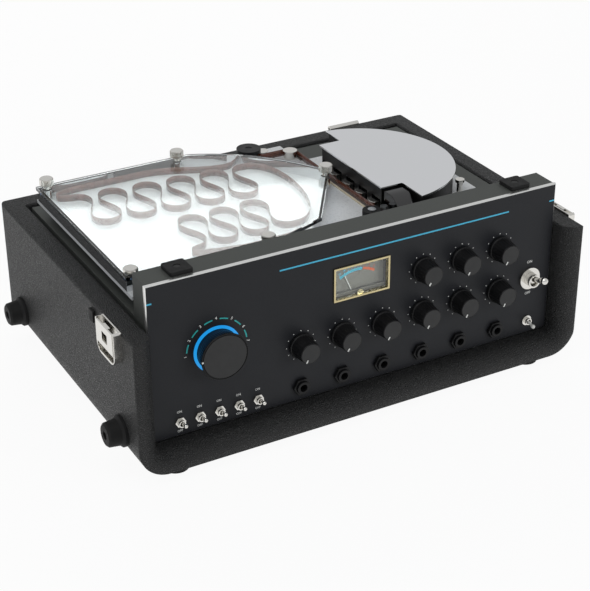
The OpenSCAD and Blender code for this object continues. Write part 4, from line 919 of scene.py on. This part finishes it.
def make_panel():
    low, high = measured("front_panel")
    work = merged_copy("front_panel")
    corner = at(0, 0, 0)

    def on_outline(point):
        spot = (point - corner) / MM
        beside = spot.x < RIM_REACH or spot.x > high.x - RIM_REACH
        return beside or spot.z > -0.5 or spot.z < low.z + RIM_REACH

    rim = []
    for edge in work.edges:
        if len(edge.link_faces) != 2 or edge.calc_face_angle() < math.radians(60):
            continue
        ends = [(v.co - corner) / MM for v in edge.verts]
        if all(abs(end.y) < 0.01 for end in ends) and all(on_outline(v.co) for v in edge.verts):
            rim.append(edge)
    for face in work.faces:
        if abs(face.normal.y) < 0.2 and all(on_outline(v.co) for v in face.verts):
            face.material_index = 1
    bmesh.ops.bevel(work, geom=rim, offset=0.8 * MM, offset_type="OFFSET", affect="EDGES", segments=1,
                    profile=0.5, material=1, clamp_overlap=True)
    print("rim edges:", len(rim))
    return piece("front_panel_plate", work, [anodised, satin_edge], "case", "anodised_panel", ["front_panel"])


make_panel()

# %% [markdown]
# ## The meter
#
# The meter has a gold coloured bezel, a grey dial and a ledge across the bottom of its window, with
# the needle passing between ledge and dial. Its scale is printed on two arcs about the pivot: blue
# up to zero and red above. The numbers are the usual ones of a level meter.

# %% Bezel, dial and scale
remake("meter_bezel", [("meter_bezel_frame", gold_trim, "gold_trim", anything)], 0.35)
body_low, body_high = measured("meter_body")
meter_x = (body_low.x + body_high.x) / 2
window_low, window_high = measured("meter_window")
PIVOT_Z, DIAL_Y, LEDGE_Y = -65.5, 7.45, 4.65
dial_card = slab(body_high.x - body_low.x - 3.4, window_high.z - window_low.z + 3, 0.08)
piece("meter_dial_card", placed(dial_card, facing_out(meter_x, (window_high.z + window_low.z) / 2, DIAL_Y)),
      dial_paint, "case", "meter_grey")
ledge_top = window_low.z + 2.6
ledge_w = body_high.x - body_low.x - 3.6
ledge = slab(ledge_w, 3.4, 0.1)
piece("meter_ledge", placed(ledge, facing_out(meter_x, ledge_top - 1.75, LEDGE_Y)),
      ledge_paint, "case", "meter_grey")
# A thin strip of the paler dial grey along the ledge's top edge is a painted highlight.
ledge_highlight_strip = rounded(slab(ledge_w, 0.5, 0.3), 0.1)
piece("meter_ledge_edge", placed(ledge_highlight_strip, facing_out(meter_x, ledge_top - 0.25, LEDGE_Y)),
      dial_paint, "case", "meter_grey")
dial_place = facing_out(meter_x, PIVOT_Z, DIAL_Y - 0.08)
UP = 90
scale_blue = [arc(30.2, 31.0, UP + 32.2, UP - 9.0), arc(28.8, 29.6, UP + 32.2, UP - 9.0)]
scale_blue += [arc(31.0, 32.2, UP + a + 0.4, UP + a - 0.4) for a in (30, 22, 15, 9, 4, -1, -5)]
scale_blue += [placed(letters(n, 1.7, 0.03), round_dial(UP + a, 33.6)) for n, a in
               (("20", 29), ("10", 21), ("7", 14), ("5", 8.5), ("3", 3.5), ("0", -6.5))]
scale_red = [arc(28.8, 31.0, UP - 10.2, UP - 32.8)]
numbers_red = [placed(letters(n, 1.7, 0.03), round_dial(UP + a, 33.2)) for n, a in
               (("1", -13), ("2", -20), ("3", -28))]
numbers_red += [arc(31.2, 32.0, UP + a + 0.5, UP + a - 0.5) for a in (-13, -20, -28)]
scale_band = [arc(29.6, 30.2, UP + 32.2, UP - 9.0)]
piece("meter_scale_blue", placed(joined(scale_blue), dial_place), blue_ink, "case", "meter_grey")
piece("meter_scale_band", placed(joined(scale_band), dial_place), teal_ink, "case", "meter_grey")
piece("meter_scale_orange", placed(joined(scale_red), dial_place), orange_ink, "case", "meter_grey")
piece("meter_scale_numbers", placed(joined(numbers_red), dial_place), red_ink, "case", "meter_grey")
print("meter centre x, mm:", round(meter_x, 1))

# %% [markdown]
# ## Studio
#
# The unit stands on a white table in an even white studio. Through the Light Path node, the camera
# sees the world as pure white and mirrors see it as a little over half of that, while the light that
# falls on the unit comes from a pale grey world and three soft boxes at a plain level. The table
# shows nearly all of its own white in the same way, so only a faint shadow is left on it.

# %% Table and world
def make_floor():
    material, tree, shader = start_finish("white_table", "#f4f4f4", 0.6)
    rays = add(tree, "ShaderNodeLightPath")
    white = add(tree, "ShaderNodeEmission", {"Color": (1, 1, 1, 1), "Strength": 1.0})
    seen = add(tree, "ShaderNodeMath", {},
               {0: rays.outputs["Is Camera Ray"], 1: rays.outputs["Is Glossy Ray"]}, operation="MAXIMUM")
    seen_or_through = add(tree, "ShaderNodeMath", {},
                          {0: seen.outputs[0], 1: rays.outputs["Is Transmission Ray"]}, operation="MAXIMUM")
    share = add(tree, "ShaderNodeMath", {1: 0.94}, {0: seen_or_through.outputs[0]}, operation="MULTIPLY")
    mix = add(tree, "ShaderNodeMixShader", {},
              {0: share.outputs[0], 1: shader.outputs[0], 2: white.outputs[0]})
    tree.links.new(mix.outputs[0], tree.nodes["Material Output"].inputs["Surface"])
    work = bmesh.new()
    bmesh.ops.create_grid(work, x_segments=1, y_segments=1, size=4)
    mesh = bpy.data.meshes.new("table")
    work.to_mesh(mesh)
    work.free()
    mesh.materials.append(material)
    table = bpy.data.objects.new("table", mesh)
    table.location.z = -0.0002
    scene.collection.objects.link(table)


def make_world():
    world = bpy.data.worlds.new("studio")
    world.use_nodes = True
    scene.world = world
    tree = world.node_tree
    base = tree.nodes["Background"]
    base.inputs["Color"].default_value = light("#e9eef4")
    base.inputs["Strength"].default_value = 0.3
    rays = add(tree, "ShaderNodeLightPath")
    white = add(tree, "ShaderNodeBackground", {"Color": (1, 1, 1, 1), "Strength": 1.0})
    seen = add(tree, "ShaderNodeMath", {},
               {0: rays.outputs["Is Camera Ray"], 1: rays.outputs["Is Transmission Ray"]}, operation="MAXIMUM")
    mirrored = add(tree, "ShaderNodeMath", {1: 0.55}, {0: rays.outputs["Is Glossy Ray"]},
                   operation="MULTIPLY")
    either = add(tree, "ShaderNodeMath", {}, {0: seen.outputs[0], 1: mirrored.outputs[0]},
                 operation="MAXIMUM")
    mix = add(tree, "ShaderNodeMixShader", {},
              {0: either.outputs[0], 1: base.outputs[0], 2: white.outputs[0]})
    tree.links.new(mix.outputs[0], tree.nodes["World Output"].inputs["Surface"])


make_floor()
make_world()


# %% Soft boxes
def soft_box(name, place, target, width, height, power, mirrored):
    """A rectangular lamp that faces a place, and may show in mirrors"""
    lamp = bpy.data.lights.new(name, "AREA")
    lamp.shape, lamp.size, lamp.size_y, lamp.energy = "RECTANGLE", width, height, power
    made = bpy.data.objects.new(name, lamp)
    made.location = place
    made.rotation_mode = "QUATERNION"
    made.rotation_quaternion = (Vector(place) - Vector(target)).to_track_quat("Z", "Y")
    made.visible_glossy = mirrored
    scene.collection.objects.link(made)


middle = (cad_low + cad_high) / 2
soft_box("key_box", (-0.7, -0.5, 1.5), middle, 1.2, 0.9, 6.2, True)
soft_box("back_box", (0.3, 1.3, 1.1), middle, 1.4, 0.6, 9, False)
soft_box("front_box", (0.9, -1.5, 0.7), middle, 0.8, 0.8, 8.5, False)

# %% [markdown]
# ## Camera
#
# The photograph was taken from the front left, a little more than a metre away, looking down by
# 28 degrees. The place, the angles and the lens were worked out from the unit's own straight edges.
# The camera's axes are built from the three angles: it looks along minus z, and x is to its right.

# %% Camera
CAMERA_PLACE = (-390.8, -943.5, 542.5)
AZIMUTH, ELEVATION, ROLL = (math.radians(angle) for angle in (-28.725, 28.44, -0.33))
lens = bpy.data.cameras.new("camera")
lens.lens, lens.sensor_fit, lens.sensor_height = 95.5, "VERTICAL", 36
camera = bpy.data.objects.new("camera", lens)
back = Vector((math.sin(AZIMUTH) * math.cos(ELEVATION),
               -math.cos(AZIMUTH) * math.cos(ELEVATION),
               math.sin(ELEVATION)))
side = Vector((0, 0, 1)).cross(back).normalized()
above = back.cross(side)
right = math.cos(ROLL) * side + math.sin(ROLL) * above
top = math.cos(ROLL) * above - math.sin(ROLL) * side
camera.matrix_world = Matrix.Translation(at(*CAMERA_PLACE)) @ Matrix((right, top, back)).transposed().to_4x4()
scene.collection.objects.link(camera)
scene.camera = camera
scene.view_settings.view_transform = "Standard"
print("camera:", [round(c, 3) for c in camera.location])
